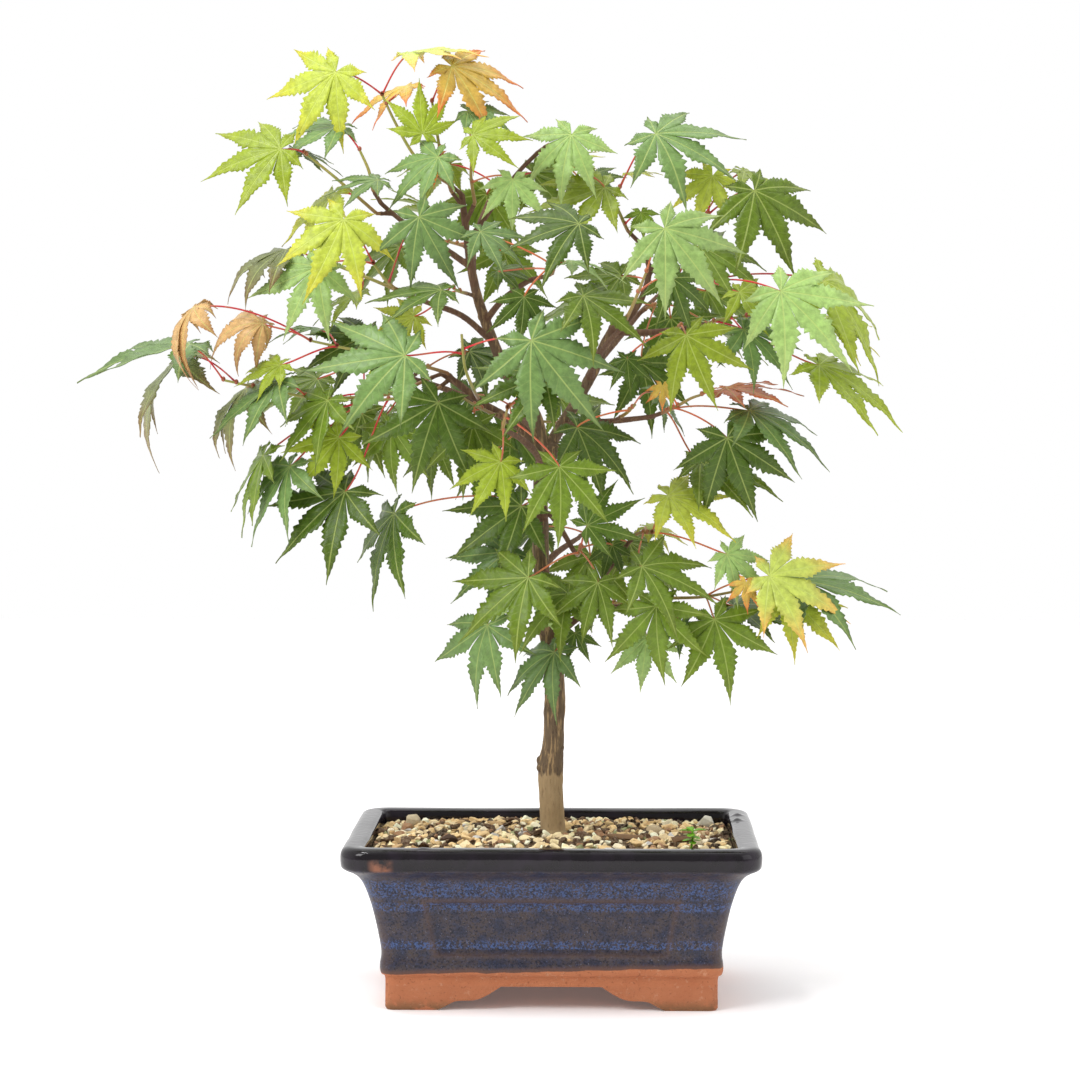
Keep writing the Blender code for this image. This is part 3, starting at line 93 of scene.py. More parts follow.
# Leaf sprays: name, (spur on the wood, spur's end), shoot points after the spur, slot, one letter of TONES for
# each leaf, the colour of the leaf stalks, and the leaves.
# A leaf is (place along the shoot, 0 to 1), (hub x, y, height), the way its middle lobe points as seen from
# the front in degrees, how far its face turns up from facing the front in degrees, and its length.
SPRAYS = {
    "spray_top_tip": (((-45, 4, 312), (-50, 4, 316)), ((-60, 3, 323), (-69, 2, 332), (-78, 1, 348),
        (-84, 0, 361)),
        "lime", "LYO", "crimson", ((1.0, (-106, -4, 371), 232, 40, 44), (1.0, (-70, -6, 380), 5, 72, 38),
        (0.9, (-72, 6, 366), 190, 75, 34))),
    "spray_top_second": (((-44, 4, 305), (-49, 0, 312)), ((-55, -3, 332), (-59, -7, 357)),
        "lime", "OFOS", "crimson", ((1.0, (-49, -9, 373), -18, 60, 44), (0.7, (-63, -16, 340), 95, 15, 27),
        (0.4, (-57, -6, 330), 270, 40, 16), (0.5, (-55, -24, 328), 212, 45, 34))),
    "spray_top_centre": (((-43, 4, 298), (-39, -2, 306)), ((-40, -6, 320), (-39, -9, 334)),
        "sheen", "SFP", "salmon", ((1.0, (-41, -14, 351), -15, 40, 25), (0.9, (-38, -18, 338), 0, 40, 29),
        (0.4, (-19, -26, 317), 268, 30, 27))),
    "spray_top_right": (((-8, 4, 332), (-4, 3, 335)), ((0, 1, 332), (4, -1, 327)),
        "sheen", "PFLD", "salmon", ((0.6, (9, -8, 340), 255, 62, 38), (1.0, (25, -12, 315), 200, 40, 40),
        (0.3, (8, 6, 329), 20, 60, 18), (1.0, (17, 8, 322), 10, 50, 20))),
    "spray_left_up_tip": (((-84, -4, 307), (-87, -4, 312)), ((-90, -4, 323), (-95, -2, 334)),
        "sheen", "SS", "crimson", ((1.0, (-105, 2, 345), 176, 64, 38), (0.3, (-84, -14, 317), 190, 70, 27))),
    "spray_left_up_side": (((-78, -4, 302), (-84, -6, 302)), ((-94, -7, 309), (-108, -8, 321),
        (-122, -8, 332)),
        "lime", "FGL", "crimson", ((1.0, (-131, -14, 332), 190, 28, 43), (0.95, (-126, 0, 334), -12, 84, 26),
        (0.3, (-108, 2, 312), 218, 72, 37))),
    "spray_left_mid_tip": (((-70, -30, 262), (-74, -32, 264)), ((-80, -34, 269), (-86, -36, 277)),
        "lime", "LSP", "crimson", ((1.0, (-99, -44, 297), 250, 35, 45), (0.3, (-63, -46, 298), 300, 35, 39),
        (1.0, (-113, -30, 275), 242, 50, 40))),
    "spray_left_mid_long": (((-62, -27, 259), (-68, -22, 261)), ((-84, -18, 268), (-104, -12, 276),
        (-116, -8, 280)),
        "dried", "MF", "crimson", ((1.0, (-129, -10, 284), 182, 80, 45), (0.5, (-96, 4, 264), 205, 70, 28))),
    "spray_long_left": (((-54, -12, 224), (-59, -12.5, 222)), ((-80, -14, 214), (-112, -16, 212),
        (-133, -16, 215), (-147, -16, 218), (-161, -16, 221)),
        "sheen", "SMSMG", "crimson", ((1.0, (-176, -20, 238), 186, 80, 58),
        (0.93, (-184, -12, 233), 222, 78, 60), (0.6, (-132, -26, 220), 213, 68, 43),
        (0.85, (-151, -8, 217), 222, 84, 45), (0.3, (-108, -30, 211), 225, 55, 38))),
    "spray_upper_left": (((-46, -12, 219), (-50, -15, 223)), ((-64, -20, 228), (-84, -22, 233),
        (-104, -22, 237), (-118, -20, 240)),
        "dried", "TTFSD", "crimson", ((1.0, (-140, -22, 248), 172, 45, 35),
        (1.0, (-169, -12, 255), 228, 80, 40), (0.8, (-131, -6, 228), 200, 60, 25),
        (0.8, (-114, 0, 246), 175, 80, 26), (0.4, (-92, -8, 242), 200, 45, 38))),
    "spray_left_under": (((-50, -12, 221.5), (-54, -16, 218)), ((-68, -20, 213), (-84, -22, 211),
        (-97, -20, 209)),
        "green", "GSFDG", "crimson", ((1.0, (-141, -14, 184), 241, 82, 42),
        (0.9, (-127, -24, 179), 236, 75, 42), (0.8, (-103, -36, 193), 232, 20, 33),
        (0.6, (-100, -28, 167), 222, 50, 50), (0.4, (-78, -18, 198), 262, 65, 33))),
    "spray_left_front": (((-34, -10, 209), (-36, -18, 212)), ((-38, -34, 217), (-41, -52, 227),
        (-42, -62, 242)),
        "sheen", "SS", "crimson", ((0.8, (-68, -74, 232), 185, 30, 52), (0.85, (-9, -74, 239), 307, 30, 52))),
    "spray_left_dark": (((-38, 0, 262), (-42, -9, 263)), ((-46, -18, 264), (-49, -26, 266)),
        "deep", "DL", "crimson", ((0.8, (-52, -36, 263), 180, 72, 38), (0.4, (-70, 30, 253), 200, 40, 27))),
    "spray_left_inner": (((-24, -6, 203), (-28, -14, 204)), ((-36, -27, 208), (-44, -38, 213)),
        "deep", "DGG", "salmon", ((1.0, (-54, -46, 210), 250, 25, 46), (0.6, (-38, -30, 199), 256, 60, 37),
        (0.4, (-58, -6, 192), 262, 82, 30))),
    "spray_front_low": (((-20, -54, 196), (-22, -58, 197)), ((-22, -64, 201), (-20, -72, 208)),
        "deep", "DFGF", "salmon", ((1.0, (-3, -64, 222), 200, 25, 40), (0.3, (-24, -50, 182), 240, 25, 31),
        (0.6, (4, -66, 180), 275, 25, 39), (1.0, (-12, -56, 213), 90, 20, 13))),
    "spray_mid_left": (((-6, 0, 160), (-5, -8, 160)), ((-5, -16, 161), (-8, -24, 163)),
        "deep", "DDS", "salmon", ((1.0, (-15, -28, 160), 215, 30, 43), (0.7, (-77, -16, 156), 240, 80, 48),
        (0.3, (-22, -34, 138), 215, 45, 38))),
    "spray_mid_right": (((10, -14, 138), (11.5, -18, 136.5)), ((13, -22, 137), (14, -28, 141)),
        "green", "DGGD", "salmon", ((1.0, (17, -34, 151), 30, 20, 30), (0.4, (-11, -46, 127), 214, 40, 46),
        (0.6, (22, -42, 124), 250, 35, 32), (0.8, (29, -22, 141), 250, 30, 19))),
    "spray_mid_right_out": (((37, -18, 142), (40, -19, 145)), ((44, -22, 147), (49, -24, 147)),
        "fresh", "GLPL", "salmon", ((0.5, (43, -46, 132), 345, 40, 42), (1.0, (56, -22, 165), 335, 50, 40),
        (1.0, (84, -30, 137), 330, 35, 28), (0.7, (46, -6, 149), 345, 70, 22))),
    "spray_lower_tip": (((34, -13, 112), (38, -14, 112.6)), ((56, -20, 115), (73, -24, 116), (90, -24, 119)),
        "lime", "YSLODG", "salmon", ((0.7, (104, -36, 127), 345, 35, 45), (1.0, (119, -20, 124), 346, 65, 53),
        (1.0, (112, -28, 118), 315, 55, 40), (0.95, (93, -42, 124), 265, 40, 15),
        (0.7, (88, -12, 111), 350, 70, 38), (0.7, (78, -38, 106), 290, 25, 41))),
    "spray_lower_mid": (((22, -9, 110), (26, -14, 112)), ((36, -22, 113), (46, -30, 115)),
        "green", "GPSG", "salmon", ((1.0, (50, -44, 113), 268, 30, 39), (0.4, (46, -22, 96), 262, 45, 28),
        (0.9, (62, -24, 104), 265, 40, 19), (0.2, (8, -36, 118), 215, 35, 37))),
    "spray_lower_left": (((-5, 0, 118), (-7, -8, 119)), ((-8, -12, 119), (-10, -16, 118)),
        "pale", "SP", "salmon", ((0.8, (-32, -10, 101), 245, 70, 42), (1.0, (-9, -22, 122), 245, 40, 31))),
    "spray_trunk_low": (((5, -3, 98), (6, -9, 98)), ((7, -12, 97.5), (7, -16, 97)),
        "sheen", "SD", "salmon", ((1.0, (1, -24, 89), 235, 60, 38), (0.8, (11, -18, 98), 300, 30, 17))),
    "spray_right_low_tip": (((48, -17, 203), (52, -17.5, 204.5)), ((60, -18, 208), (67, -19, 212),
        (73, -20, 214)),
        "deep", "BSDGO", "salmon", ((1.0, (84, -18, 217), 15, 86, 38), (0.2, (95, -22, 206), 335, 60, 47),
        (0.3, (84, -32, 193), 290, 25, 44), (0.1, (72, -8, 181), 345, 60, 44),
        (0.4, (53, -28, 218), 270, 40, 13))),
    "spray_right_low_mid": (((30, -14, 201), (33, -20, 203)), ((36, -24, 205), (40, -28, 209)),
        "deep", "DS", "salmon", ((0.6, (12, -32, 198), 330, 55, 42), (0.8, (50, -4, 215), 320, 85, 27))),
    "spray_right_out_tip": (((70, -8, 247), (74, -8.5, 248)), ((80, -9, 250), (88, -10, 251), (95, -10, 252)),
        "fresh", "FSL", "crimson", ((0.2, (129, -16, 228), 345, 65, 50), (0.6, (92, -26, 245), 325, 50, 37),
        (1.0, (134, -6, 249), 345, 70, 31))),
    "spray_right_out_mid": (((56, -5, 245), (58, -11, 245)), ((61, -20, 246), (62, -30, 247)),
        "fresh", "FD", "salmon", ((1.0, (64, -42, 242), 290, 25, 39), (0.6, (36, -30, 231), 275, 40, 19))),
    "spray_right_far": (((47, 12, 277), (52, 8, 275)), ((62, 3, 271), (76, 0, 268)),
        "fresh", "FPFG", "crimson", ((0.9, (132, -6, 269), 318, 70, 58), (1.0, (109, -16, 263), 315, 45, 52),
        (0.8, (90, -24, 263), 335, 45, 30), (0.4, (71, -14, 286), 330, 60, 41))),
    "spray_right_up_tip": (((42, 12, 289), (38, 11, 293)), ((33, 9, 302), (30, 7, 310), (33, 5, 316)),
        "sheen", "SGL", "crimson", ((1.0, (50, 0, 341), 335, 40, 49), (0.2, (43, 2, 303), 280, 40, 15),
        (0.9, (37, 6, 323), 0, 80, 17))),
    "spray_right_up_out": (((66, 15, 295), (69, 14, 297)), ((73, 12, 300), (77, 10, 303)),
        "green", "LGF", "crimson", ((0.9, (78, 4, 321), 250, 40, 29), (1.0, (98, -2, 313), 300, 30, 47),
        (0.5, (94, 16, 324), 330, 70, 31))),
    "spray_right_front": (((32, -52, 244), (34, -56, 247)), ((39, -61, 257), (45, -65, 272)),
        "pale", "PDG", "salmon", ((1.0, (53, -72, 291), 310, 35, 47), (0.6, (57, -44, 269), 290, 45, 29),
        (0.1, (15, -62, 260), 325, 45, 39))),
    "spray_centre_front": (((-4, -36, 270), (-1, -39, 271)), ((1, -43, 274), (3, -48, 278)),
        "deep", "DDPDS", "salmon", ((0.8, (-13, -54, 260), 268, 25, 26), (1.0, (13, -56, 294), 195, 40, 39),
        (0.7, (9, -40, 277), 0, 80, 28), (0.3, (-26, -32, 273), 0, 50, 20),
        (0.5, (-34, -44, 291), 330, 55, 31))),
    "spray_top_back_tip": (((-34, 58, 312), (-32, 61, 314)), ((-30, 64, 317), (-28, 68, 320)),
        "green", "FGG", "crimson", ((1.0, (-54, 70, 332), 200, 120, 36), (0.8, (-12, 76, 328), -20, 130, 36),
        (1.0, (-36, 92, 318), 265, 140, 38))),
    "spray_top_back_mid": (((-40, 22, 284), (-44, 26, 287)), ((-52, 32, 290), (-60, 36, 292)),
        "green", "GFG", "salmon", ((1.0, (-78, 42, 288), 215, 110, 36), (0.6, (-60, 52, 306), 160, 105, 34),
        (0.3, (-26, 44, 286), 290, 125, 36))),
    "spray_back_low_tip": (((-20, 66, 206), (-21, 70, 207)), ((-22, 74, 208), (-24, 80, 208)),
        "deep", "DGD", "salmon", ((0.8, (-44, 92, 214), 210, 125, 40), (0.8, (2, 90, 212), -30, 130, 38),
        (1.0, (-24, 108, 196), 265, 140, 42))),
    "spray_back_low_mid": (((-15, 46, 200), (-11, 50, 200)), ((-6, 54, 200), (0, 56, 200)),
        "deep", "DG", "salmon", ((1.0, (16, 62, 190), 300, 120, 36), (0.2, (-34, 50, 182), 245, 110, 34))),
    "spray_right_back_tip": (((50, 70, 262), (52, 73, 264)), ((55, 77, 267), (58, 82, 269)),
        "green", "GGD", "salmon", ((1.0, (78, 92, 268), -20, 120, 40), (0.8, (34, 96, 276), 200, 130, 38),
        (1.0, (60, 106, 254), 280, 140, 42))),
    "spray_right_back_mid": (((42, 52, 254), (46, 48, 257)), ((52, 44, 259), (58, 40, 259)),
        "green", "GDG", "salmon", ((1.0, (78, 38, 250), -30, 95, 36), (0.4, (44, 66, 230), 285, 130, 38),
        (0.3, (18, 54, 262), 200, 110, 34))),
    "spray_left_back_tip": (((-86, 46, 226), (-89, 49, 227)), ((-93, 53, 228), (-98, 57, 228)),
        "green", "GFG", "crimson", ((1.0, (-122, 62, 222), 205, 110, 40), (0.7, (-88, 78, 234), 150, 125, 36),
        (1.0, (-100, 72, 204), 250, 130, 40))),
    "spray_left_back_mid": (((-72, 32, 222), (-70, 38, 224)), ((-68, 44, 226), (-64, 50, 228)),
        "deep", "DG", "salmon", ((1.0, (-44, 60, 236), 330, 120, 34), (0.2, (-84, 22, 204), 235, 100, 34))),
    "spray_lower_back": (((12, 46, 141), (13, 50, 142)), ((14, 54, 143), (16, 60, 143)),
        "deep", "GDG", "salmon", ((1.0, (38, 68, 138), -35, 120, 38), (0.7, (-8, 66, 146), 210, 125, 38),
        (1.0, (18, 84, 130), 275, 140, 40))),
}

# letter: colour of the blade, colour of the lobes' tips, how much the lobes curl
TONES = {
    "L": ((0.40, 0.48, 0.050), (0.52, 0.46, 0.03), 1.0),
    "Y": ((0.47, 0.56, 0.10), (0.80, 0.40, 0.09), 1.0),
    "O": ((0.62, 0.42, 0.07), (0.80, 0.13, 0.035), 1.2),
    "F": ((0.255, 0.340, 0.020), (0.29, 0.34, 0.02), 1.0),
    "G": ((0.125, 0.200, 0.014), (0.14, 0.19, 0.014), 1.0),
    "D": ((0.070, 0.128, 0.011), (0.08, 0.12, 0.010), 1.0),
    # S: grey-green, partly the leaves' own colour and partly a painted sheen, the light that glossy blades
    # reflect
    "S": ((0.150, 0.255, 0.070), (0.12, 0.18, 0.05), 1.2),
    # P: pale whitish green, partly the leaves' own colour and partly a painted sheen of reflected light on
    # glossy blades
    "P": ((0.30, 0.46, 0.13), (0.34, 0.44, 0.15), 1.0),
    "T": ((0.56, 0.34, 0.13), (0.32, 0.14, 0.05), 2.8),
    "M": ((0.20, 0.23, 0.09), (0.22, 0.12, 0.05), 2.2),
    "B": ((0.42, 0.12, 0.040), (0.34, 0.07, 0.02), 1.2),
}
DRY_TONES = "TM"
STALKS = {"crimson": (0.58, 0.015, 0.028), "salmon": (0.60, 0.13, 0.045)}
SHOOT_GREEN = (0.30, 0.30, 0.06)
SHOOT_BROWN = (0.26, 0.12, 0.05)

# Shoots, stalks and blades
SHOOT_RADIUS = 0.95
SHOOT_SIDES = 10
PETIOLE_RADIUS = 0.48
STALK_SIDES = 8
BLADE_TOP = 0.35
BLADE_DROOP = 0.2
SPUR_GAP = 0.3
# Lobes of a leaf: angle from the middle lobe, length as a share of the leaf's, half angles to its neighbours
LOBES = ((0, 1.0, 19.5, 19.5), (39, 0.90, 19.5, 20.5), (-39, 0.90, 20.5, 19.5), (80, 0.66, 20.5, 24.0),
         (-80, 0.66, 24.0, 20.5), (128, 0.34, 24.0, 30.0), (-128, 0.34, 30.0, 24.0))
LOBE_WIDTH = 0.134
TEETH = 15
BLADE_ROWS = 3 * TEETH + 3
BLADE_OFFSETS = (-1.0, -0.5, 0.0, 0.5, 1.0)
BLADE_TILT = 9
BLADE_THICKNESS = 0.22

# The pot's section from the ground to the lip and down inside: height, inset, corner radius
PROFILE = ((0, 21.0, 4), (1.2, 20.4, 4), (15, 20.3, 5), (17, 18.6, 6), (19, 17.8, 7), (22, 17.8, 7),
           (26, 18.4, 7), (30, 18.3, 7), (38, 17.0, 7.7), (49, 14.7, 8.5), (57, 12.3, 9.3), (62, 10.2, 10),
           (65, 8.0, 11), (67.2, 5.0, 12), (68.6, 2.2, 13), (70, 0.5, 14), (72.5, 0.0, 14), (76, 0.0, 14),
           (78.3, 0.8, 13.5), (79.5, 2.4, 12), (80, 4.5, 10), (80, 8.0, 7), (79.6, 10.3, 5), (78.2, 11.7, 4.2),
           (76, 12.0, 4), (67, 13.2, 4), (46, 21.5, 4), (19.5, 27.3, 5), (18, 29, 5))
UNDERSIDE = 11.5
FOOT_WALL = 15.0
DRAIN_RADIUS = 6.0
DRAIN_SPACING = 90.0
RIM_WIDTH = 12.0
PANEL_MARGIN = 27.0
PANEL_LOW = 28.0
PANEL_HIGH = 52.8
PANEL_DEPTH = 1.2

# How far the soil lies below the rim
SOIL_DROP_CENTRE = 1.5
SOIL_DROP_EDGE = 6.0

# Camera: its place, how many degrees it looks down and turns left, its lens and its sensor's width
CAMERA_PLACE = (24.0, -1455.0, 294.0)
CAMERA_PITCH = 2.82
CAMERA_TURN = 1.2
CAMERA_LENS = 98.7
CAMERA_SENSOR = 36.0


def place(point):
    """A place in the row frame, in metres."""
    return CENTRE + Vector(point) * MM


def tree_point(point):
    """A place of the tree's, whose heights start at the rim."""
    return Vector((point[0], point[1], POT_HEIGHT + point[2]))


# ---------------------------------------------------------------- node materials

class Shading:
    """A Principled material built up in a few words."""

    def __init__(self, name):
        self.material = bpy.data.materials.new(name)
        self.material.use_nodes = True
        self.tree = self.material.node_tree
        self.shader = self.tree.nodes["Principled BSDF"]

    def put(self, socket, value):
        if isinstance(value, bpy.types.NodeSocket):
            self.tree.links.new(value, socket)
        elif isinstance(value, tuple) and len(value) == 3 and socket.type == "RGBA":
            socket.default_value = (*value, 1.0)
        else:
            socket.default_value = value

    def node(self, kind, inputs=(), **settings):
        made = self.tree.nodes.new(kind)
        for key, value in settings.items():
            setattr(made, key, value)
        for key, value in dict(inputs).items():
            self.put(made.inputs[key], value)
        return made

    def math(self, operation, a, b=0.0, clamp=False):
        return self.node("ShaderNodeMath", {0: a, 1: b}, operation=operation, use_clamp=clamp).outputs[0]

    def plus(self, a, b):
        return self.math("ADD", a, b)

    def minus(self, a, b):
        return self.math("SUBTRACT", a, b)

    def times(self, a, b):
        return self.math("MULTIPLY", a, b)

    def spread(self, value, low, high, to_low=0.0, to_high=1.0):
        """value eased from low..high to to_low..to_high."""
        made = self.node("ShaderNodeMapRange", {"Value": value, "From Min": low, "From Max": high,
                                                "To Min": to_low, "To Max": to_high},
                         interpolation_type="SMOOTHSTEP")
        return made.outputs["Result"]

    def fade(self, value, low, high, share=1.0):
        """share at low and below, easing to nothing at high."""
        return self.spread(value, low, high, share, 0.0)

    def band(self, value, low, full, fading, high):
        """1 between full and fading, and nothing outside low to high."""
        return self.times(self.spread(value, low, full), self.fade(value, fading, high))

    def mix(self, share, a, b, blend="MIX"):
        if isinstance(a, float) or isinstance(b, float):
            return self.node("ShaderNodeMix", {0: share, 2: a, 3: b}, data_type="FLOAT").outputs[0]
        made = self.node("ShaderNodeMix", {0: share, 6: a, 7: b}, data_type="RGBA", blend_type=blend)
        return made.outputs[2]

    def place_mm(self):
        """x, y and z in millimetres from the pot's centre."""
        split = self.node("ShaderNodeSeparateXYZ", {0: self.node("ShaderNodeTexCoord").outputs["Object"]})
        return [self.times(self.minus(split.outputs[k], CENTRE[k]), 1 / MM) for k in range(3)]

    def noise(self, size_mm, detail, rough=0.5, stretch=1.0):
        """Noise, drawn out along z where stretch is over 1."""
        where = self.node("ShaderNodeTexCoord").outputs["Object"]
        if stretch > 1:
            where = self.node("ShaderNodeVectorMath", {0: where, 1: Vector((1, 1, 1 / stretch))},
                              operation="MULTIPLY").outputs[0]
        return self.node("ShaderNodeTexNoise", {"Vector": where, "Scale": 1 / MM / size_mm, "Detail": detail,
                                                "Roughness": rough}).outputs["Fac"]

    def grain(self, size_mm, stretch, detail):
        return self.noise(size_mm, detail, 0.6, stretch)

    def colours(self, name="tone"):
        return self.node("ShaderNodeAttribute", attribute_name=name).outputs["Color"]

    def relief(self, height, depth_mm, strength=1.0):
        made = self.node("ShaderNodeBump", {"Height": height, "Distance": depth_mm * MM, "Strength": strength})
        self.put(self.shader.inputs["Normal"], made.outputs["Normal"])

    def finish(self, colour, roughness, specular=0.5):
        inputs = self.shader.inputs
        self.put(inputs["Base Color"], colour)
        self.put(inputs["Roughness"], roughness)
        inputs["Specular IOR Level"].default_value = specular
        return self.material


GLAZE_BROWN = (0.062, 0.044, 0.038)
GLAZE_SLATE = (0.024, 0.024, 0.040)
GLAZE_BLUE = (0.052, 0.095, 0.240)
GLAZE_DEEP = (0.008, 0.009, 0.020)
GLAZE_FLECK = (0.28, 0.30, 0.44)
GLAZE_RIDGE = (0.100, 0.056, 0.040)
GLAZE_END = (0.13, 0.060, 0.038)
GLAZE_BARE = (0.33, 0.13, 0.07)
LIP_TONES = ((0.009, 0.007, 0.009), (0.016, 0.011, 0.018))
CLAY_TONES = ((0.41, 0.130, 0.055), (0.54, 0.205, 0.095))
CLAY_PITS = (0.20, 0.065, 0.03)
CLAY_DUST = (0.62, 0.36, 0.22)
CLAY_WORN = (0.17, 0.10, 0.045)
CLAY_UNDER = (0.3, 0.14, 0.08)
# Heights in millimetres: where the glaze ends on the foot, and where the lip's own glaze starts
GLAZE_LINE = 19.3 - 1.3
LIP_LINE = (69.6, 71.2)
# Where the glaze pools: from, full, fading, to, and how blue it gets
POOLS = ((52, 58, 61, 66, 0.85), (47, 50.5, 52.4, 53.2, 0.95), (29.2, 30.2, 31, 36, 1.0))
BARE_SPOT = -80


def glaze_colour(look, x, y, z, above, lip_share):
    """Brown to slate, crystals of blue where the glaze pools, dark specks, and brown where it runs thin."""
    medium = look.noise(7, 4, 0.6)
    body = look.mix(look.spread(medium, 0.35, 0.68), GLAZE_BROWN, GLAZE_SLATE)
    pooled = 0.0
    for low, full, fading, high, share in POOLS:
        pooled = look.plus(pooled, look.times(look.band(z, low, full, fading, high), share))
    pooled = look.math("MULTIPLY", pooled, look.spread(look.noise(38, 2), 0.25, 0.6, 0.55, 1.1), clamp=True)
    crystal = look.spread(look.noise(1.15, 3, 0.8), 0.46, 0.58)
    body = look.mix(look.times(crystal, look.spread(pooled, 0.0, 0.85, 0.16, 1.0)), body, GLAZE_BLUE)
    body = look.mix(look.fade(look.noise(1.0, 2, 0.6), 0.38, 0.47, 0.85), body, GLAZE_DEEP)
    body = look.mix(look.spread(look.noise(0.7, 1), 0.69, 0.76, 0.0, 0.35), body, GLAZE_FLECK)
    body = look.mix(look.fade(above, 0.3, 3.2, 0.8), body, GLAZE_END)
    body = look.mix(look.colours("thin"), body, GLAZE_RIDGE)
    body = look.mix(lip_share, body, look.mix(look.spread(look.noise(14, 3), 0.45, 0.7), *LIP_TONES))
    # One spot of bare clay under the lip, on the left of the front
    bare = look.times(look.fade(look.math("ABSOLUTE", look.minus(x, BARE_SPOT)), 2.0, 7.0),
                      look.band(z, 68.5, 70.5, 73.5, 76))
    bare = look.times(look.times(bare, look.spread(y, -66, -70)), look.spread(medium, 0.35, 0.6))
    return look.mix(look.times(bare, 0.75), body, GLAZE_BARE)


def clay_colour(look, z):
    """Orange, with dark pits, pale dust, and worn brown where the feet stand."""
    clay = look.mix(look.noise(9, 4, 0.6), *CLAY_TONES)
    clay = look.mix(look.spread(look.noise(1.3, 3), 0.60, 0.72, 0.0, 0.6), clay, CLAY_PITS)
    clay = look.mix(look.spread(look.noise(3.5, 4, 0.7), 0.56, 0.70, 0.0, 0.45), clay, CLAY_DUST)
    worn = look.times(look.fade(z, 0.5, 6.5), look.spread(look.noise(4, 4), 0.36, 0.54))
    clay = look.mix(look.times(worn, 0.75), clay, CLAY_WORN)
    return look.mix(look.spread(z, 12.5, 11.4, 0.0, 0.1), clay, CLAY_UNDER)


def pot_material():
    """Speckled slate-blue glaze, brown where it runs thin, near black on the lip, over bare orange clay."""
    look = Shading("glazed_pot_look")
    x, y, z = look.place_mm()
    fine = look.noise(1.1, 3, 0.7)
    wave = look.noise(16, 2)
    line = look.plus(GLAZE_LINE, look.plus(look.times(x, 0.022), look.times(wave, 2.6)))
    above = look.minus(z, line)
    glazed = look.spread(look.plus(above, look.times(fine, 0.5)), 0.05, 0.55)
    lip_share = look.spread(look.plus(z, look.times(wave, 1.6)), *LIP_LINE)
    colour = look.mix(glazed, clay_colour(look, z), glaze_colour(look, x, y, z, above, lip_share))

    body_rough = look.plus(0.30, look.times(look.spread(fine, 0.35, 0.7), 0.16))
    rough = look.mix(glazed, 0.82, look.mix(lip_share, body_rough, 0.06))
    ripple = look.plus(look.times(look.noise(3.0, 2), 0.35),
                       look.times(look.noise(0.9, 2), look.fade(lip_share, 0, 1, 0.22)))
    pits = look.times(look.spread(look.noise(1.6, 4, 0.7), 0.3, 0.7), look.fade(glazed, 0, 1, 0.9))
    look.relief(look.plus(ripple, pits), 0.30, 0.8)
    return look.finish(colour, rough, specular=0.32)


BARK_TONES = ((0.100, 0.066, 0.036), (0.190, 0.130, 0.078))
BARK_FISSURE = (0.44, 0.29, 0.14)
BARK_CRACK = (0.05, 0.033, 0.024)
BARK_FOOT_TONES = ((0.27, 0.180, 0.085), (0.50, 0.36, 0.20))
BARK_FOOT_CRACK = (0.20, 0.13, 0.07)
BARK_YOUNG = (0.13, 0.062, 0.038)
OLD_SOIL_LINE = (110.5, 112.5)
VEIN_TONE = (0.56, 0.64, 0.18)
STEM_TAN = (0.40, 0.26, 0.08)
GRIT_DUST = (0.74, 0.60, 0.38)
GRIT_PORE = (0.12, 0.08, 0.05)


def bark_material():
    """Grey-brown bark with tan fissures, tan below the old soil line, redder and smoother on thin branches."""
    look = Shading("bark_look")
    _, _, z = look.place_mm()
    bark = look.mix(look.noise(9, 3), *BARK_TONES)
    bark = look.mix(look.spread(look.grain(1.7, 9, 4), 0.50, 0.62, 0.0, 0.8), bark, BARK_FISSURE)
    bark = look.mix(look.spread(look.grain(0.9, 5, 3), 0.56, 0.66, 0.0, 0.6), bark, BARK_CRACK)
    foot = look.mix(look.grain(1.2, 6, 4), *BARK_FOOT_TONES)
    foot = look.mix(look.spread(look.grain(0.8, 7, 3), 0.57, 0.68, 0.0, 0.7), foot, BARK_FOOT_CRACK)
    edge = look.plus(z, look.times(look.grain(2.2, 3, 4), 9.0))
    bark = look.mix(look.spread(edge, *OLD_SOIL_LINE), foot, bark)
    bark = look.mix(look.times(look.colours("thin"), 0.75), bark, BARK_YOUNG)
    look.relief(look.plus(look.grain(1.5, 8, 4), look.times(look.noise(0.8, 3), 0.4)), 0.7, 0.9)
    return look.finish(bark, 0.78, specular=0.3)


def leaf_material(name, gloss):
    """Blades: tone from the mesh, pale veins from the lobe's own coordinates, and a faint mottle."""
    look = Shading(name)
    lobe = look.node("ShaderNodeUVMap", uv_map="lobe").outputs[0]
    split = look.node("ShaderNodeSeparateXYZ", {0: lobe})
    aside = look.math("ABSOLUTE", look.minus(split.outputs[0], 0.5))
    ahead = split.outputs[1]
    midrib = look.times(look.fade(aside, 0.004, 0.018), look.spread(ahead, 0.70, 1.0, 1.0, 0.2))
    ribs = look.math("FRACT", look.minus(look.times(ahead, 11.0), look.times(aside, 5.5)))
    ribs = look.fade(look.math("ABSOLUTE", look.minus(ribs, 0.5)), 0.0, 0.10)
    tone = look.colours("tone")
    pale = look.mix(0.45, tone, VEIN_TONE)
    mottle = look.spread(look.noise(3.2, 4, 0.65), 0.3, 0.7, 0.80, 1.18)
    grey = look.node("ShaderNodeCombineColor", {0: mottle, 1: mottle, 2: mottle}).outputs[0]
    blade = look.mix(1.0, tone, grey, "MULTIPLY")
    blade = look.mix(look.times(ribs, 0.16), blade, pale)
    blade = look.mix(look.times(midrib, 0.80), blade, pale)
    height = look.plus(look.times(ribs, -0.5), look.times(look.noise(1.2, 2), 0.3))
    look.relief(look.minus(height, midrib), 0.22, 0.6)
    return look.finish(blade, gloss, specular=0.30)


def stem_material():
    """Shoots and leaf stalks: tone from the mesh, with tan patches."""
    look = Shading("stem_look")
    tone = look.colours("tone")
    colour = look.mix(look.spread(look.noise(5, 2), 0.4, 0.65, 0.0, 0.35), tone, STEM_TAN)
    return look.finish(colour, 0.38)


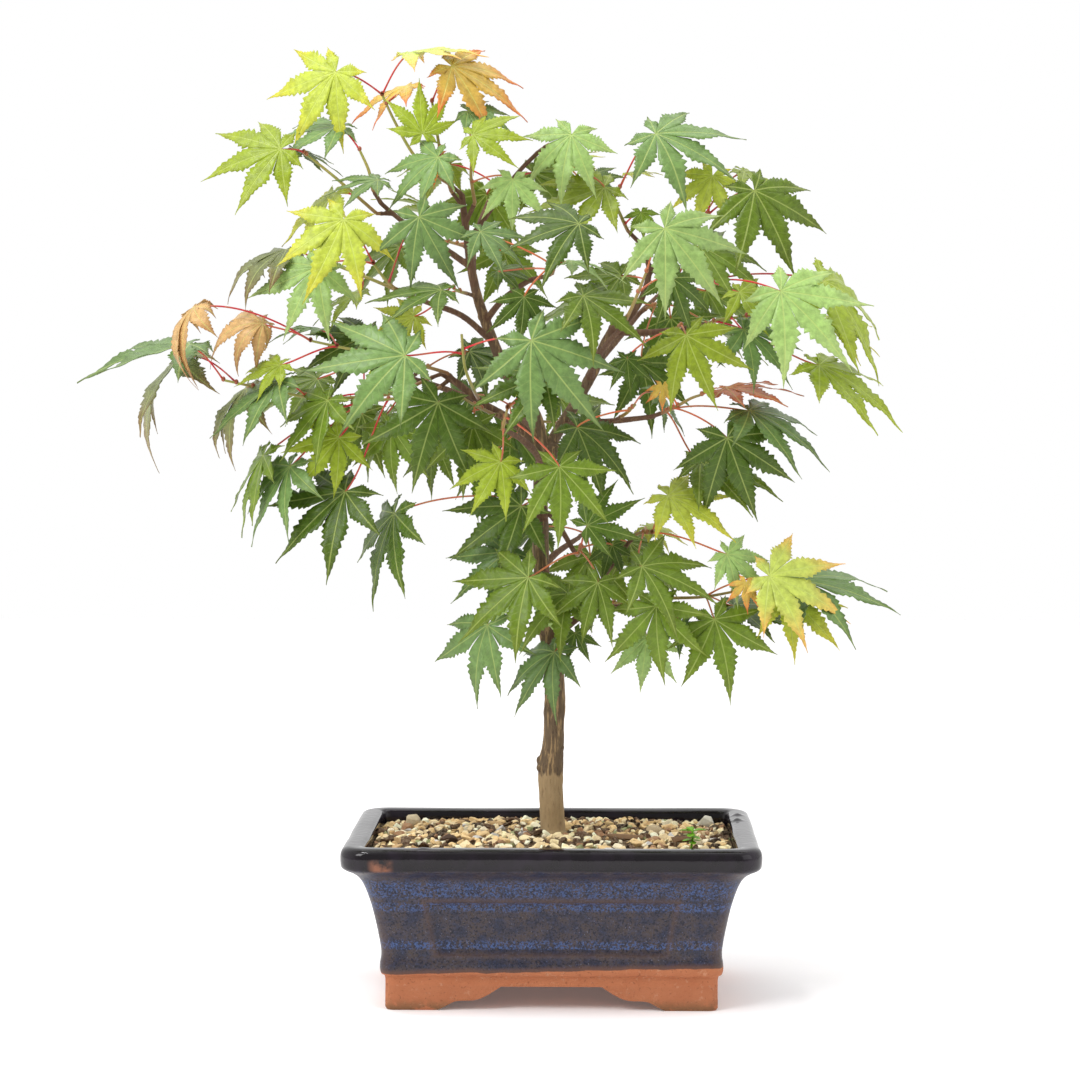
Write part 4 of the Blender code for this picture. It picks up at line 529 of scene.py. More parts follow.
def grain_material():
    """Loose grit: each grain's own tone with dusty pores."""
    look = Shading("grit_look")
    tone = look.colours("tone")
    dust = look.mix(look.spread(look.noise(1.4, 4, 0.7), 0.45, 0.65), tone, GRIT_DUST)
    colour = look.mix(0.28, tone, dust)
    colour = look.mix(look.spread(look.noise(0.7, 3), 0.62, 0.72, 0.0, 0.6), colour, GRIT_PORE)
    look.relief(look.noise(0.8, 4, 0.7), 0.5, 0.8)
    return look.finish(colour, 0.88, specular=0.25)


def plain_material(name, colour, roughness, grain_mm=1.2, depth_mm=0.2):
    """One colour, unevenly darker, with a fine relief."""
    look = Shading(name)
    darker = tuple(0.62 * part for part in colour)
    shade = look.mix(look.noise(grain_mm, 4, 0.65), colour, darker)
    look.relief(look.noise(grain_mm, 3), depth_mm, 0.7)
    return look.finish(shade, roughness, specular=0.3)


# ---------------------------------------------------------------- mesh helpers

def add_piece(name, points, faces, material, node, slot_name, smooth=True, tones=None, thin=None):
    """A piece that rides on the root and stands for its CAD node."""
    mesh = bpy.data.meshes.new(name)
    mesh.from_pydata([place(point) for point in points], [], faces)
    for attribute, values in (("tone", tones), ("thin", thin)):
        if values is not None:
            layer = mesh.color_attributes.new(attribute, "FLOAT_COLOR", "POINT")
            layer.data.foreach_set("color", [part for colour in values for part in (*colour, 1.0)])
    mesh.materials.append(material)
    if smooth:
        mesh.shade_smooth()
    obj = new_object(name, mesh)
    declare(obj, node)
    return obj


def declare(obj, node):
    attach(obj, "root")
    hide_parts(node)


def new_object(name, mesh):
    obj = bpy.data.objects.new(name, mesh)
    bpy.context.scene.collection.objects.link(obj)
    return obj


def skin(points, count):
    """A closed surface through rings of count points each, laid end to end."""
    faces = [tuple(range(count))[::-1], tuple(range(len(points) - count, len(points)))]
    for first in range(0, len(points) - count, count):
        for i in range(count):
            a = first + i
            b = first + (i + 1) % count
            faces.append((a, b, b + count, a + count))
    return points, faces


def grid(rows, columns):
    """The faces of rows by columns cells, whose corners are listed row by row."""
    wide = columns + 1
    return [(j * wide + i, j * wide + i + 1, (j + 1) * wide + i + 1, (j + 1) * wide + i)
            for j in range(rows) for i in range(columns)]


def smooth_route(points, step):
    """A Catmull-Rom curve through points of any size, sampled about every step millimetres."""
    points = [Vector(point) for point in points]
    padded = [2 * points[0] - points[1], *points, 2 * points[-1] - points[-2]]
    route = []
    for a, b, c, d in zip(padded, padded[1:], padded[2:], padded[3:]):
        count = max(1, round((c - b).length / step))
        for i in range(count):
            t = i / count
            route.append(0.5 * (2 * b + (c - a) * t + (2 * a - 5 * b + 4 * c - d) * t * t
                                + (3 * b - a - 3 * c + d) * t ** 3))
    route.append(points[-1])
    return route


def tube(points, radii, sides):
    """A closed tube with flat ends along a polyline."""
    points = [Vector(point) for point in points]
    tangents = [(b - a).normalized() for a, b in zip(points, points[1:])]
    tangents = [tangents[0], *[(a + b).normalized() for a, b in zip(tangents, tangents[1:])], tangents[-1]]
    across = tangents[0].orthogonal().normalized()
    corners = []
    for point, tangent, radius in zip(points, tangents, radii):
        across = (across - across.dot(tangent) * tangent).normalized()
        other = tangent.cross(across)
        for i in range(sides):
            turn = 2 * math.pi * i / sides
            corners.append(point + radius * (math.cos(turn) * across + math.sin(turn) * other))
    return skin(corners, sides)


def gather(shapes):
    """Several (points, faces) as one."""
    points = []
    faces = []
    for its_points, its_faces in shapes:
        start = len(points)
        points += its_points
        faces += [tuple(start + index for index in face) for face in its_faces]
    return points, faces


def cut(obj, helpers):
    """Cuts the helpers' shapes out of obj with exact Booleans."""
    for helper_points, helper_faces in helpers:
        mesh = bpy.data.meshes.new("cutter")
        mesh.from_pydata([place(point) for point in helper_points], [], helper_faces)
        body = bmesh.new()
        body.from_mesh(mesh)
        bmesh.ops.recalc_face_normals(body, faces=body.faces)
        body.to_mesh(mesh)
        body.free()
        helper = new_object("cutter", mesh)
        boolean = obj.modifiers.new("Cut", "BOOLEAN")
        boolean.operation = "DIFFERENCE"
        boolean.object = helper
        graph = bpy.context.evaluated_depsgraph_get()
        result = bpy.data.meshes.new_from_object(obj.evaluated_get(graph))
        obj.modifiers.clear()
        obj.data = result
        bpy.data.objects.remove(helper, do_unlink=True)


def ease(value, low, high):
    t = min(1.0, max(0.0, (value - low) / (high - low)))
    return t * t * (3 - 2 * t)


# ---------------------------------------------------------------- pot

LONG_STEPS = 110
SHORT_STEPS = 84
CORNER_STEPS = 10
WALL_LOW = 18
WALL_HIGH = 66
# Drips on top of the lip: x, y and height
DRIPS = ((93, 44, 1.1), (92, 26, 1.3), (-60, -69, 0.5))
DRIP_RADIUS = 2.2
# Inset of the foot's outer face
FOOT_INSET = 21.0
CUT_REACH = 150.0


def wall_ring(inset, corner, z):
    """Points round the pot anticlockwise, evenly spread on the straight runs and the corners."""
    half_x = POT_LENGTH / 2 - inset
    half_y = POT_DEPTH / 2 - inset
    arcs = []
    for quarter, (sign_x, sign_y) in enumerate(((1, 1), (-1, 1), (-1, -1), (1, -1))):
        arc = []
        for i in range(CORNER_STEPS + 1):
            turn = math.radians(90 * (quarter + i / CORNER_STEPS))
            arc.append(Vector((sign_x * (half_x - corner) + corner * math.cos(turn),
                               sign_y * (half_y - corner) + corner * math.sin(turn), z)))
        arcs.append(arc)
    points = []
    for quarter in range(4):
        points += arcs[quarter]
        start = arcs[quarter][-1]
        end = arcs[(quarter + 1) % 4][0]
        steps = LONG_STEPS if quarter % 2 == 0 else SHORT_STEPS
        points += [start.lerp(end, i / steps) for i in range(1, steps)]
    return points


def panel_shape(point, inset):
    """(depth of the recessed panel's step at a place on the wall, how much its raised edge shows)."""
    on_long = abs(abs(point.y) - (POT_DEPTH / 2 - inset)) < 0.01
    on_short = abs(abs(point.x) - (POT_LENGTH / 2 - inset)) < 0.01
    if not (on_long or on_short) or not PANEL_LOW - 4 < point.z < PANEL_HIGH + 4:
        return 0.0, 0.0
    half = (POT_LENGTH if on_long else POT_DEPTH) / 2 - inset - PANEL_MARGIN
    across = abs(point.x if on_long else point.y)
    outside = max(across - half, PANEL_LOW - point.z, point.z - PANEL_HIGH)
    depth = PANEL_DEPTH * ease(-outside, -0.9, 1.4)
    bead = math.exp(-((outside - 1.2) / 1.25) ** 2)
    return depth - 0.25 * bead, 0.65 * bead


def wall_outward(point):
    """Straight out of the side of the pot that the point is on."""
    across = point.x / (POT_LENGTH / 2)
    back = point.y / (POT_DEPTH / 2)
    if abs(across) > abs(back):
        return Vector((math.copysign(1, across), 0, 0))
    return Vector((0, math.copysign(1, back), 0))


def thin_share(point, inset, bead):
    """How thin the glaze runs: on the panels' raised edges and on the wall's corners."""
    corner_edge = 0.0
    if WALL_LOW < point.z < WALL_HIGH:
        near = min(POT_LENGTH / 2 - inset - abs(point.x), 99) + min(POT_DEPTH / 2 - inset - abs(point.y), 99)
        corner_edge = 0.55 * (1 - ease(near, 3.0, 6.5))
    return max(0.75 * bead, corner_edge)


def make_pot():
    points = []
    thin = []
    count = 0
    for z, inset, corner in smooth_route(PROFILE, 0.9):
        ring = wall_ring(inset, max(corner, 0.5), z)
        count = len(ring)
        for point in ring:
            depth, bead = panel_shape(point, inset) if inset > 9 and z < 60 else (0.0, 0.0)
            wobble = noise.noise(point * 0.028) * 0.55 * ease(z, 10, 30)
            moved = point - wall_outward(point) * (depth - wobble)
            for drip_x, drip_y, size in DRIPS if z > 76 else ():
                away = math.hypot(moved.x - drip_x, moved.y - drip_y)
                moved.z += size * math.exp(-(away / DRIP_RADIUS) ** 2)
            moved.z += 0.35 * noise.noise(point * 0.02 + Vector((7, 3, 1))) * ease(z, 60, 78)
            points.append(moved)
            thin.append((thin_share(point, inset, bead),) * 3)
    pot = add_piece("pot_fired", *skin(points, count), pot_material(), "pot", "glazed_pot", thin=thin)
    cut(pot, pot_cutters())
    pot.data.shade_smooth()
    pot.data.set_sharp_from_angle(angle=math.radians(38))


def foot_arch(run, flat_top):
    """The outline of the gap between two feet, from edge to edge across the pot."""
    corners = ((run, 0.0), (run - 4, 2.0), (run - 9, 4.4), (run - 18, 5.0), (run - 24, 7.4),
               (flat_top, UNDERSIDE))
    curve = smooth_route([(u, v, 0) for u, v in corners], 1.0)
    half = [(run, -2.0)] + [(point.x, point.y) for point in curve]
    return half + [(-u, v) for u, v in half[::-1]]


def pot_cutters():
    half_x = POT_LENGTH / 2 - FOOT_INSET
    half_y = POT_DEPTH / 2 - FOOT_INSET
    front = foot_arch(half_x + 0.5 - 25.0, 24.0)
    side = foot_arch(half_y + 0.5 - 19.0, 9.0)
    hollow = [(sx * (half_x - FOOT_WALL), sy * (half_y - FOOT_WALL), z) for z in (-2.0, UNDERSIDE)
              for sx, sy in ((-1, -1), (1, -1), (1, 1), (-1, 1))]
    cutters = [skin([(u, y, v) for y in (-CUT_REACH, CUT_REACH) for u, v in front], len(front)),
               skin([(x, u, v) for x in (-CUT_REACH, CUT_REACH) for u, v in side], len(side)), skin(hollow, 4)]
    for x in (-DRAIN_SPACING / 2, DRAIN_SPACING / 2):
        cutters.append(tube(((x, 0, 0), (x, 0, 24)), (DRAIN_RADIUS, DRAIN_RADIUS), 32))
    return cutters


# ---------------------------------------------------------------- soil and what lies on it

GRAIN_SIZES = (4.0, 4.8, 5.6, 6.4, 7.2, 8.2, 9.4)
GRAIN_CORNERS = 11
GRAIN_ROUNDNESS = 0.75
GRAIN_TILT = 0.5
MOST_GRAINS = 1150
MOST_TRIES = 30000
TRUNK_ROOM = 6.2
BATCHES = 3


def soil_height(x, y):
    half_x = POT_LENGTH / 2 - RIM_WIDTH
    half_y = POT_DEPTH / 2 - RIM_WIDTH
    away = min(1.0, (abs(x) / half_x) ** 3 * 0.6 + (abs(y) / half_y) ** 3 * 0.8)
    return POT_HEIGHT - (SOIL_DROP_CENTRE + (SOIL_DROP_EDGE - SOIL_DROP_CENTRE) * away)


def rock_shape(centre, size, turn, chance):
    """A chipped, uneven stone: the hull of points scattered on a stretched ball."""
    body = bmesh.new()
    for _ in range(GRAIN_CORNERS):
        way = Vector([chance.gauss(0, 1) for _ in range(3)]).normalized()
        way *= GRAIN_ROUNDNESS + (1 - GRAIN_ROUNDNESS) * chance.random()
        body.verts.new([way[k] * size[k] / 2 for k in range(3)])
    hull = bmesh.ops.convex_hull(body, input=body.verts)
    bmesh.ops.delete(body, geom=[e for e in hull["geom_interior"] if isinstance(e, bmesh.types.BMVert)],
                     context="VERTS")
    bmesh.ops.bevel(body, geom=list(body.edges), offset=min(size) * 0.06, segments=1, affect="EDGES",
                    clamp_overlap=True)
    body.verts.index_update()
    points = [Vector(centre) + turn @ vert.co for vert in body.verts]
    faces = [tuple(vert.index for vert in face.verts) for face in body.faces]
    body.free()
    return points, faces


def random_turn(chance):
    return (Matrix.Rotation(chance.uniform(0, 2 * math.pi), 3, "Z")
            @ Matrix.Rotation(chance.uniform(-1, 1) * GRAIN_TILT, 3, "X")
            @ Matrix.Rotation(chance.uniform(-1, 1) * GRAIN_TILT, 3, "Y"))


# colour of a grain, and how many in every 126 have it
GRAIN_TONES = (((0.72, 0.51, 0.25), 26), ((0.84, 0.67, 0.40), 27), ((0.90, 0.80, 0.58), 17),
               ((0.50, 0.32, 0.15), 12), ((0.30, 0.16, 0.085), 10), ((0.085, 0.045, 0.026), 17),
               ((0.035, 0.021, 0.014), 13), ((0.26, 0.28, 0.13), 2), ((0.60, 0.58, 0.55), 2))
BED_COLUMNS = 88
BED_ROWS = 62
BED_DEPTH = 1.6


def make_soil():
    """The grit: a dark bed with a layer of loose grains over it."""
    half_x = POT_LENGTH / 2 - RIM_WIDTH - 0.4
    half_y = POT_DEPTH / 2 - RIM_WIDTH - 0.4
    points = []
    for j in range(BED_ROWS + 1):
        for i in range(BED_COLUMNS + 1):
            x = -half_x + 2 * half_x * i / BED_COLUMNS
            y = -half_y + 2 * half_y * j / BED_ROWS
            z = soil_height(x, y) - BED_DEPTH + 1.3 * noise.noise(Vector((x, y, 0)) * 0.35)
            points.append(Vector((x, y, z)))
    chance = random.Random(11)
    tones = [(0.10 + 0.05 * chance.random(), 0.065 + 0.03 * chance.random(), 0.04) for _ in points]
    grit = grain_material()
    add_piece("soil_bed", points, grid(BED_ROWS, BED_COLUMNS), grit, "soil", "soil", tones=tones)

    palette = [tone for tone, share in GRAIN_TONES for _ in range(share)]
    batches = [[] for _ in range(BATCHES)]
    tones = [[] for _ in range(BATCHES)]
    spots = []
    for node in SURFACE_PIECES:
        low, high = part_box(node)
        middle = ((low + high) / 2 - CENTRE) / MM
        spots.append((middle.x, middle.y, (high.x - low.x) / MM))
    tries = 0
    while len(spots) < MOST_GRAINS and tries < MOST_TRIES:
        tries += 1
        size = chance.choice(GRAIN_SIZES) * chance.uniform(0.85, 1.1)
        x = chance.uniform(-half_x + size * 0.45, half_x - size * 0.45)
        y = chance.uniform(-half_y + size * 0.45, half_y - size * 0.45)
        if math.hypot(x, y) < TRUNK_ROOM + size * 0.35:
            continue
        if any((x - ox) ** 2 + (y - oy) ** 2 < (0.36 * (size + other)) ** 2 for ox, oy, other in spots):
            continue
        spots.append((x, y, size))
        tone = palette[int(chance.random() * len(palette))]
        long = chance.uniform(1.0, 1.45) if tone[0] > 0.2 else chance.uniform(1.2, 2.0)
        shape = rock_shape((x, y, soil_height(x, y) - size * 0.16 + chance.uniform(-0.4, 0.9)),
                           (size * long, size * chance.uniform(0.75, 1.0), size * chance.uniform(0.6, 0.85)),
                           random_turn(chance), chance)
        batch = len(spots) % BATCHES
        tint = chance.uniform(1.0, 1.35)
        batches[batch].append(shape)
        tones[batch] += [tuple(min(1.0, part * tint) for part in tone)] * len(shape[0])
    for batch, shapes in enumerate(batches):
        add_piece(f"soil_grains_{batch + 1}", *gather(shapes), grit, "soil", "soil", smooth=False,
                  tones=tones[batch])


# node: colour and slot
SURFACE_PIECES = {
    "white_stone": ((0.84, 0.82, 0.78), "pale_stone"),
    "pale_stone_back": ((0.78, 0.74, 0.62), "pale_stone"),
    "tan_rod_stone": ((0.50, 0.38, 0.20), "tan_stone"),
    "cream_stone_left": ((0.70, 0.58, 0.38), "tan_stone"),
    "cream_stone_front": ((0.80, 0.70, 0.50), "tan_stone"),
    "buff_stone_right": ((0.66, 0.52, 0.33), "tan_stone"),
    "bark_chip_long": ((0.27, 0.16, 0.085), "bark_chip"),
    "bark_chip_short": ((0.22, 0.125, 0.065), "bark_chip"),
    "bark_chip_left": ((0.09, 0.052, 0.034), "bark_chip"),
}


def copy_of_node(node, name, material):
    """A new piece with the CAD node's own shape, its split corners joined."""
    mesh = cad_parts[node].data.copy()
    body = bmesh.new()
    body.from_mesh(mesh)
    bmesh.ops.remove_doubles(body, verts=body.verts, dist=0.00001)
    body.to_mesh(mesh)
    body.free()
    mesh.name = name
    mesh.materials.clear()
    mesh.materials.append(material)
    obj = new_object(name, mesh)
    declare(obj, node)
    return obj


def make_surface_pieces():
    for node, (colour, slot_name) in SURFACE_PIECES.items():
        bark = slot_name == "bark_chip"
        material = plain_material(node + "_look", colour, 0.85, 2.2 if bark else 1.3, 0.5)
        piece = copy_of_node(node, node + "_worn", material)
        chamfer = piece.modifiers.new("Chamfer", "BEVEL")
        chamfer.width = 0.45 * MM
        chamfer.segments = 2
        chamfer.limit_method = "NONE"
        piece.data.shade_smooth()


# The seedling's leaves: which way they point, length, width, how steeply they rise, height on the stem
SEEDLING_LEAVES = ((0, 6.6, 4.6, 0.25, 1.0), (180, 6.4, 4.4, 0.15, 1.0), (120, 5.4, 4.0, 0.62, 1.0),
                   (250, 5.4, 4.2, -0.5, 0.9), (320, 5.0, 4.0, -0.4, 0.75), (200, 5.0, 3.8, -0.3, 0.6),
                   (285, 4.6, 3.6, -0.5, 0.5), (20, 4.8, 3.6, -0.2, 0.55))
SEEDLING_ROWS = 8
SEEDLING_GREEN = (0.20, 0.48, 0.02)


def make_seedling():
    """A low clump of small leaves on a short stem."""
    low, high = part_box("seedling")
    base = (Vector(((low.x + high.x) / 2 - 0.0005, (low.y + high.y) / 2, low.z + 0.002)) - CENTRE) / MM
    top = base + Vector((1.0, -1.0, (high.z - low.z) / MM - 3.0))
    stem = smooth_route((base, base.lerp(top, 0.5) + Vector((0.4, 0, 0)), top), 0.8)
    shapes = [tube(stem, [0.45] * len(stem), 8)]
    for turn, length, width, lift, rise in SEEDLING_LEAVES:
        spin = Matrix.Rotation(math.radians(turn), 3, "Z")
        points = []
        for row in range(SEEDLING_ROWS + 1):
            t = row / SEEDLING_ROWS
            wide = width / 2 * math.sin(math.pi * min(1, t * 1.02) ** 0.8)
            climb = lift * length * t * (1 - 0.6 * t)
            for side in (-1, 0, 1):
                reach = Vector((length * t, side * wide, climb + 0.25 * abs(side) * wide))
                points.append(base.lerp(top, rise) + spin @ reach)
        shapes.append((points, grid(SEEDLING_ROWS, 2)))
    material = plain_material("seedling_look", SEEDLING_GREEN, 0.45, 2.0, 0.1)
    seedling = add_piece("seedling_grown", *gather(shapes), material, "seedling", "seedling")
    thicken(seedling, 0.2)


def thicken(obj, thickness_mm):
    solid = obj.modifiers.new("Thickness", "SOLIDIFY")
    solid.thickness = thickness_mm * MM
    solid.offset = 0.0
    solid.use_even_offset = False


def make_drain_screens():
    for node in ("drain_screen_left", "drain_screen_right"):
        copy_of_node(node, node + "_mesh", plain_material(node + "_look", (0.02, 0.02, 0.022), 0.5))


# ---------------------------------------------------------------- wood

# Swellings of the wood: centre, radii
KNOBS = (((-5.0, -1.5, 30.0), (3.4, 3.0, 3.2)), ((-6.4, -0.5, 33.4), (1.9, 1.9, 2.4)),
         ((3.5, -1.0, 40.0), (2.6, 2.4, 2.0)), ((-4.4, -1.5, 99.0), (4.0, 4.4, 4.2)),
         ((1.8, -2.0, 95.0), (3.6, 3.6, 4.0)), ((-0.6, 0.0, 186.0), (6.2, 5.6, 5.0)),
         ((30.0, 4.0, 246.0), (3.6, 3.2, 3.4)), ((-34.0, -2.0, 252.0), (3.4, 3.2, 3.0)),
         ((-34.0, -10.0, 209.0), (3.0, 2.8, 2.8)), ((0.0, 0.0, -3.0), (8.4, 8.0, 4.0)))


def ball(centre, radii, steps=10):
    points = [centre + Vector((0, 0, -radii[2]))]
    for row in range(1, steps):
        polar = math.pi * row / steps
        for k in range(steps * 2):
            turn = math.pi * k / steps
            points.append(centre + Vector((radii[0] * math.sin(polar) * math.cos(turn),
                                           radii[1] * math.sin(polar) * math.sin(turn),
                                           -radii[2] * math.cos(polar))))
    points.append(centre + Vector((0, 0, radii[2])))
    around = steps * 2
    faces = [(0, 1 + (k + 1) % around, 1 + k) for k in range(around)]
    for row in range(steps - 2):
        for k in range(around):
            a = 1 + row * around + k
            b = 1 + row * around + (k + 1) % around
            faces.append((a, b, b + around, a + around))
    last = len(points) - 1
    faces += [(last, last - around + k, last - around + (k + 1) % around) for k in range(around)]
    return points, faces


def fused(obj):
    """The mesh of overlapping shapes made one skin."""
    fuse = obj.modifiers.new("Fuse", "REMESH")
    fuse.mode = "VOXEL"
    fuse.voxel_size = 0.55 * MM
    relax = obj.modifiers.new("Relax", "SMOOTH")
    relax.iterations = 4
    relax.factor = 0.5
    graph = bpy.context.evaluated_depsgraph_get()
    mesh = bpy.data.meshes.new_from_object(obj.evaluated_get(graph))
    obj.modifiers.clear()
    return mesh


def make_wood():
    """Trunk, branches and spurs fused into one skin, then swollen and roughened."""
    shapes = []
    for rows in WOOD.values():
        route = smooth_route([(*tree_point(row), row[3]) for row in rows], 4.0)
        shapes.append(tube([point.to_3d() for point in route], [point[3] for point in route], 18))
    for spur, *_ in SPRAYS.values():
        start, end = (tree_point(point) for point in spur)
        shapes.append(tube((start, start.lerp(end, 0.5), end),
                           (SHOOT_RADIUS * 1.3, SHOOT_RADIUS * 1.15, SHOOT_RADIUS * 1.1), 12))
        shapes.append(ball(end, (SHOOT_RADIUS * 1.35,) * 3, 6))
    for centre, radii in KNOBS:
        shapes.append(ball(tree_point(centre), [0.9 * radius for radius in radii]))
    wood = add_piece("bark_skin", *gather(shapes), bark_material(), "trunk_and_branches", "bark")
    mesh = fused(wood)
    wood.data = mesh
    axes = [(tree_point(point), point[3]) for rows in WOOD.values() for point in smooth_route(rows, 3.0)]
    tree = kd_tree([axis for axis, _ in axes])
    spots = [(vertex.co.copy(), vertex.normal.copy()) for vertex in mesh.vertices]
    grown = []
    thin = []
    for spot, normal in spots:
        local = (spot - CENTRE) / MM
        radius = axes[tree.find(local)[1]][1]
        share = 1 - ease(radius, 1.6, 3.2)
        thin += (share, share, share, 1.0)
        stretched = Vector((local.x, local.y, local.z * 0.16))
        ridge = abs(noise.noise(stretched * 0.75)) * 1.1 + 0.5 * noise.noise(stretched * 1.7)
        lump = noise.noise(local * 0.09) * 0.5
        grown += list(spot + normal * MM * (ridge * 0.34 + lump) * min(1.0, radius / 5.0))
    mesh.vertices.foreach_set("co", grown)
    mesh.color_attributes.new("thin", "FLOAT_COLOR", "POINT").data.foreach_set("color", thin)
    mesh.update()
    mesh.shade_smooth()


def kd_tree(points):
    tree = KDTree(len(points))
    for index, point in enumerate(points):
        tree.insert(point, index)
    tree.balance()
    return tree


# ---------------------------------------------------------------- leaves

def shoot_route(spur, shoot):
    start, end = (tree_point(point) for point in spur)
    way = (end - start).normalized()
    return [end + way * SPUR_GAP, end + way * 2.0, *[tree_point(point) for point in shoot]]


def along(route, share):
    """The place at this share of a route's length, and no nearer its ends than a stalk's thickness."""
    lengths = [(b - a).length for a, b in zip(route, route[1:])]
    left = min(max(share * sum(lengths), 3.0), sum(lengths) - 0.8)
    for a, b, length in zip(route, route[1:], lengths):
        if left <= length:
            return a.lerp(b, left / length)
        left -= length
    return route[-1]


def leaf_frame(aim, face):
    """The middle lobe's direction and the upper side's normal."""
    way = Vector((math.cos(math.radians(aim)), 0, math.sin(math.radians(aim))))
    up = Vector((0, -math.cos(math.radians(face)), math.sin(math.radians(face))))
    way = (way + 0.25 * Vector((0, -math.cos(math.radians(face)), 0))).normalized()
    return way, (up - up.dot(way) * way).normalized()


def blade_tops(node):
    """The many-cornered points of a spray's solid: the tops and keels of its blades."""
    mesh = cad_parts[node].data
    found = {}
    for polygon in mesh.polygons:
        corners = [tuple(round(part / MM, 2) for part in mesh.vertices[index].co) for index in polygon.vertices]
        for corner in corners:
            found.setdefault(corner, set()).update(corners)
    return [(Vector(corner) * MM - CENTRE) / MM for corner, near in found.items() if len(near) > 15]


def grown_hub(tops, hub, normal):
    """The leaf's hub, where the design's growth put it: only its depth may differ."""
    expected = tree_point(hub)
    best = min(tops, key=lambda top: (Vector((top.x, 0, top.z)) - Vector((expected.x, 0, expected.z))
                                      - Vector((normal.x, 0, normal.z)) * BLADE_TOP).length
               + 0.01 * abs(top.y - expected.y))
    return Vector((expected.x, best.y - normal.y * BLADE_TOP, expected.z))


def lobe_width(t, share, chance_shift):
    """Half the lobe's width, as a share of the leaf's length, with forward-pointing teeth."""
    peak = 0.44
    if t < peak:
        wide = 0.80 + 0.20 * math.sin(math.pi / 2 * t / peak)
    else:
        u = (t - peak) / (1 - peak)
        wide = (1 - u) ** 1.35 * (1 + 0.9 * u * (1 - u)) + 0.02 * (1 - u)
    width = LOBE_WIDTH * (0.35 + 0.65 * share) * wide
    tooth, phase = divmod(t * TEETH + chance_shift, 1.0)
    size = 0.22 + 0.44 * abs(math.sin(tooth * 2.4 + 9 * chance_shift))
    return width * (1 + size * (phase - 0.4) * ease(t, 0.16, 0.34) * (1 - 0.25 * t))


def blade_lobes(hub, way, normal, length, letter, chance):
    """The (points, faces) of one leaf's lobes, and their points' tones and lobe coordinates."""
    base, tip, curl = TONES[letter]
    curled = curl > 1.5
    tilt = Matrix.Rotation(math.radians(chance.uniform(-BLADE_TILT, BLADE_TILT)), 3, way)
    tilt = tilt @ Matrix.Rotation(math.radians(chance.uniform(-BLADE_TILT, BLADE_TILT)), 3, normal.cross(way))
    way = tilt @ way
    normal = tilt @ normal
    left = normal.cross(way)
    tint = chance.uniform(0.80, 1.20)
    base, tip = (tuple(part * tint for part in tone) for tone in (base, tip))
    fold = chance.uniform(0.10, 0.26)
    lobes = []
    tones = []
    places = []
    for angle, share, toward_low, toward_high in LOBES:
        turn = math.radians(angle)
        ahead = math.cos(turn) * way + math.sin(turn) * left
        aside = normal.cross(ahead)
        reach = share * length * chance.uniform(0.95, 1.05 if share < 1 else 1.0)
        droop = BLADE_DROOP * chance.uniform(0.5, 1.1 if curled else 1.9) * (0.6 + 0.4 * curl)
        bend = chance.uniform(-0.13, 0.13) * curl
        twist = chance.uniform(-0.5, 0.5) * curl
        shift = chance.random()
        points = []
        for row in range(BLADE_ROWS + 1):
            t = row / BLADE_ROWS
            narrow = lobe_width(t, share, shift) * length
            sag = -droop * reach * (t ** 1.5 * (1 + 0.6 * curl * t) if curled else t ** 2)
            back = -0.25 * (curl - 1.2) * reach * t ** 3 if curled else 0.0
            for offset in BLADE_OFFSETS:
                sector = t * reach * math.tan(math.radians(toward_high if offset > 0 else toward_low))
                wide = offset * min(sector, narrow)
                lift = fold * abs(wide) * (1 - 0.35 * t) + twist * t * t * wide
                lift += 0.012 * length * math.sin(t * 17 + shift * 6 + angle) * abs(offset) * ease(t, 0.2, 0.5)
                points.append(hub + ahead * (reach * t + back) + aside * (wide + bend * reach * t * t)
                              + normal * (sag + lift))
                blend = ease(t, 0.45, 1.0) * 0.85 + 0.15 * abs(offset) * ease(t, 0.2, 0.6)
                tones.append(blend_colours(base, tip, min(1.0, blend)))
                places.append((0.5 + wide / length * 1.6, t))
        lobes.append((points, grid(BLADE_ROWS, len(BLADE_OFFSETS) - 1)))
    return lobes, tones, places


def stalk_route(start, hub, way, normal):
    """The leaf's stalk: it leaves the shoot rising, and comes in under the hub in line with the blade."""
    end = hub - normal * 0.25
    reach = (end - start).length
    first = start.lerp(end, 0.33) + Vector((0, 0, 0.10 * reach))
    last = end - way * 0.30 * reach - normal * 0.05 * reach
    last = last.lerp(start.lerp(end, 0.67), 0.5)
    points = []
    steps = max(8, round(reach / 2.5))
    for i in range(steps + 1):
        t = i / steps
        points.append(start * (1 - t) ** 3 + 3 * first * t * (1 - t) ** 2 + 3 * last * t * t * (1 - t)
                      + end * t ** 3)
    return points


def blend_colours(a, b, share):
    return tuple(p + (q - p) * share for p, q in zip(a, b))


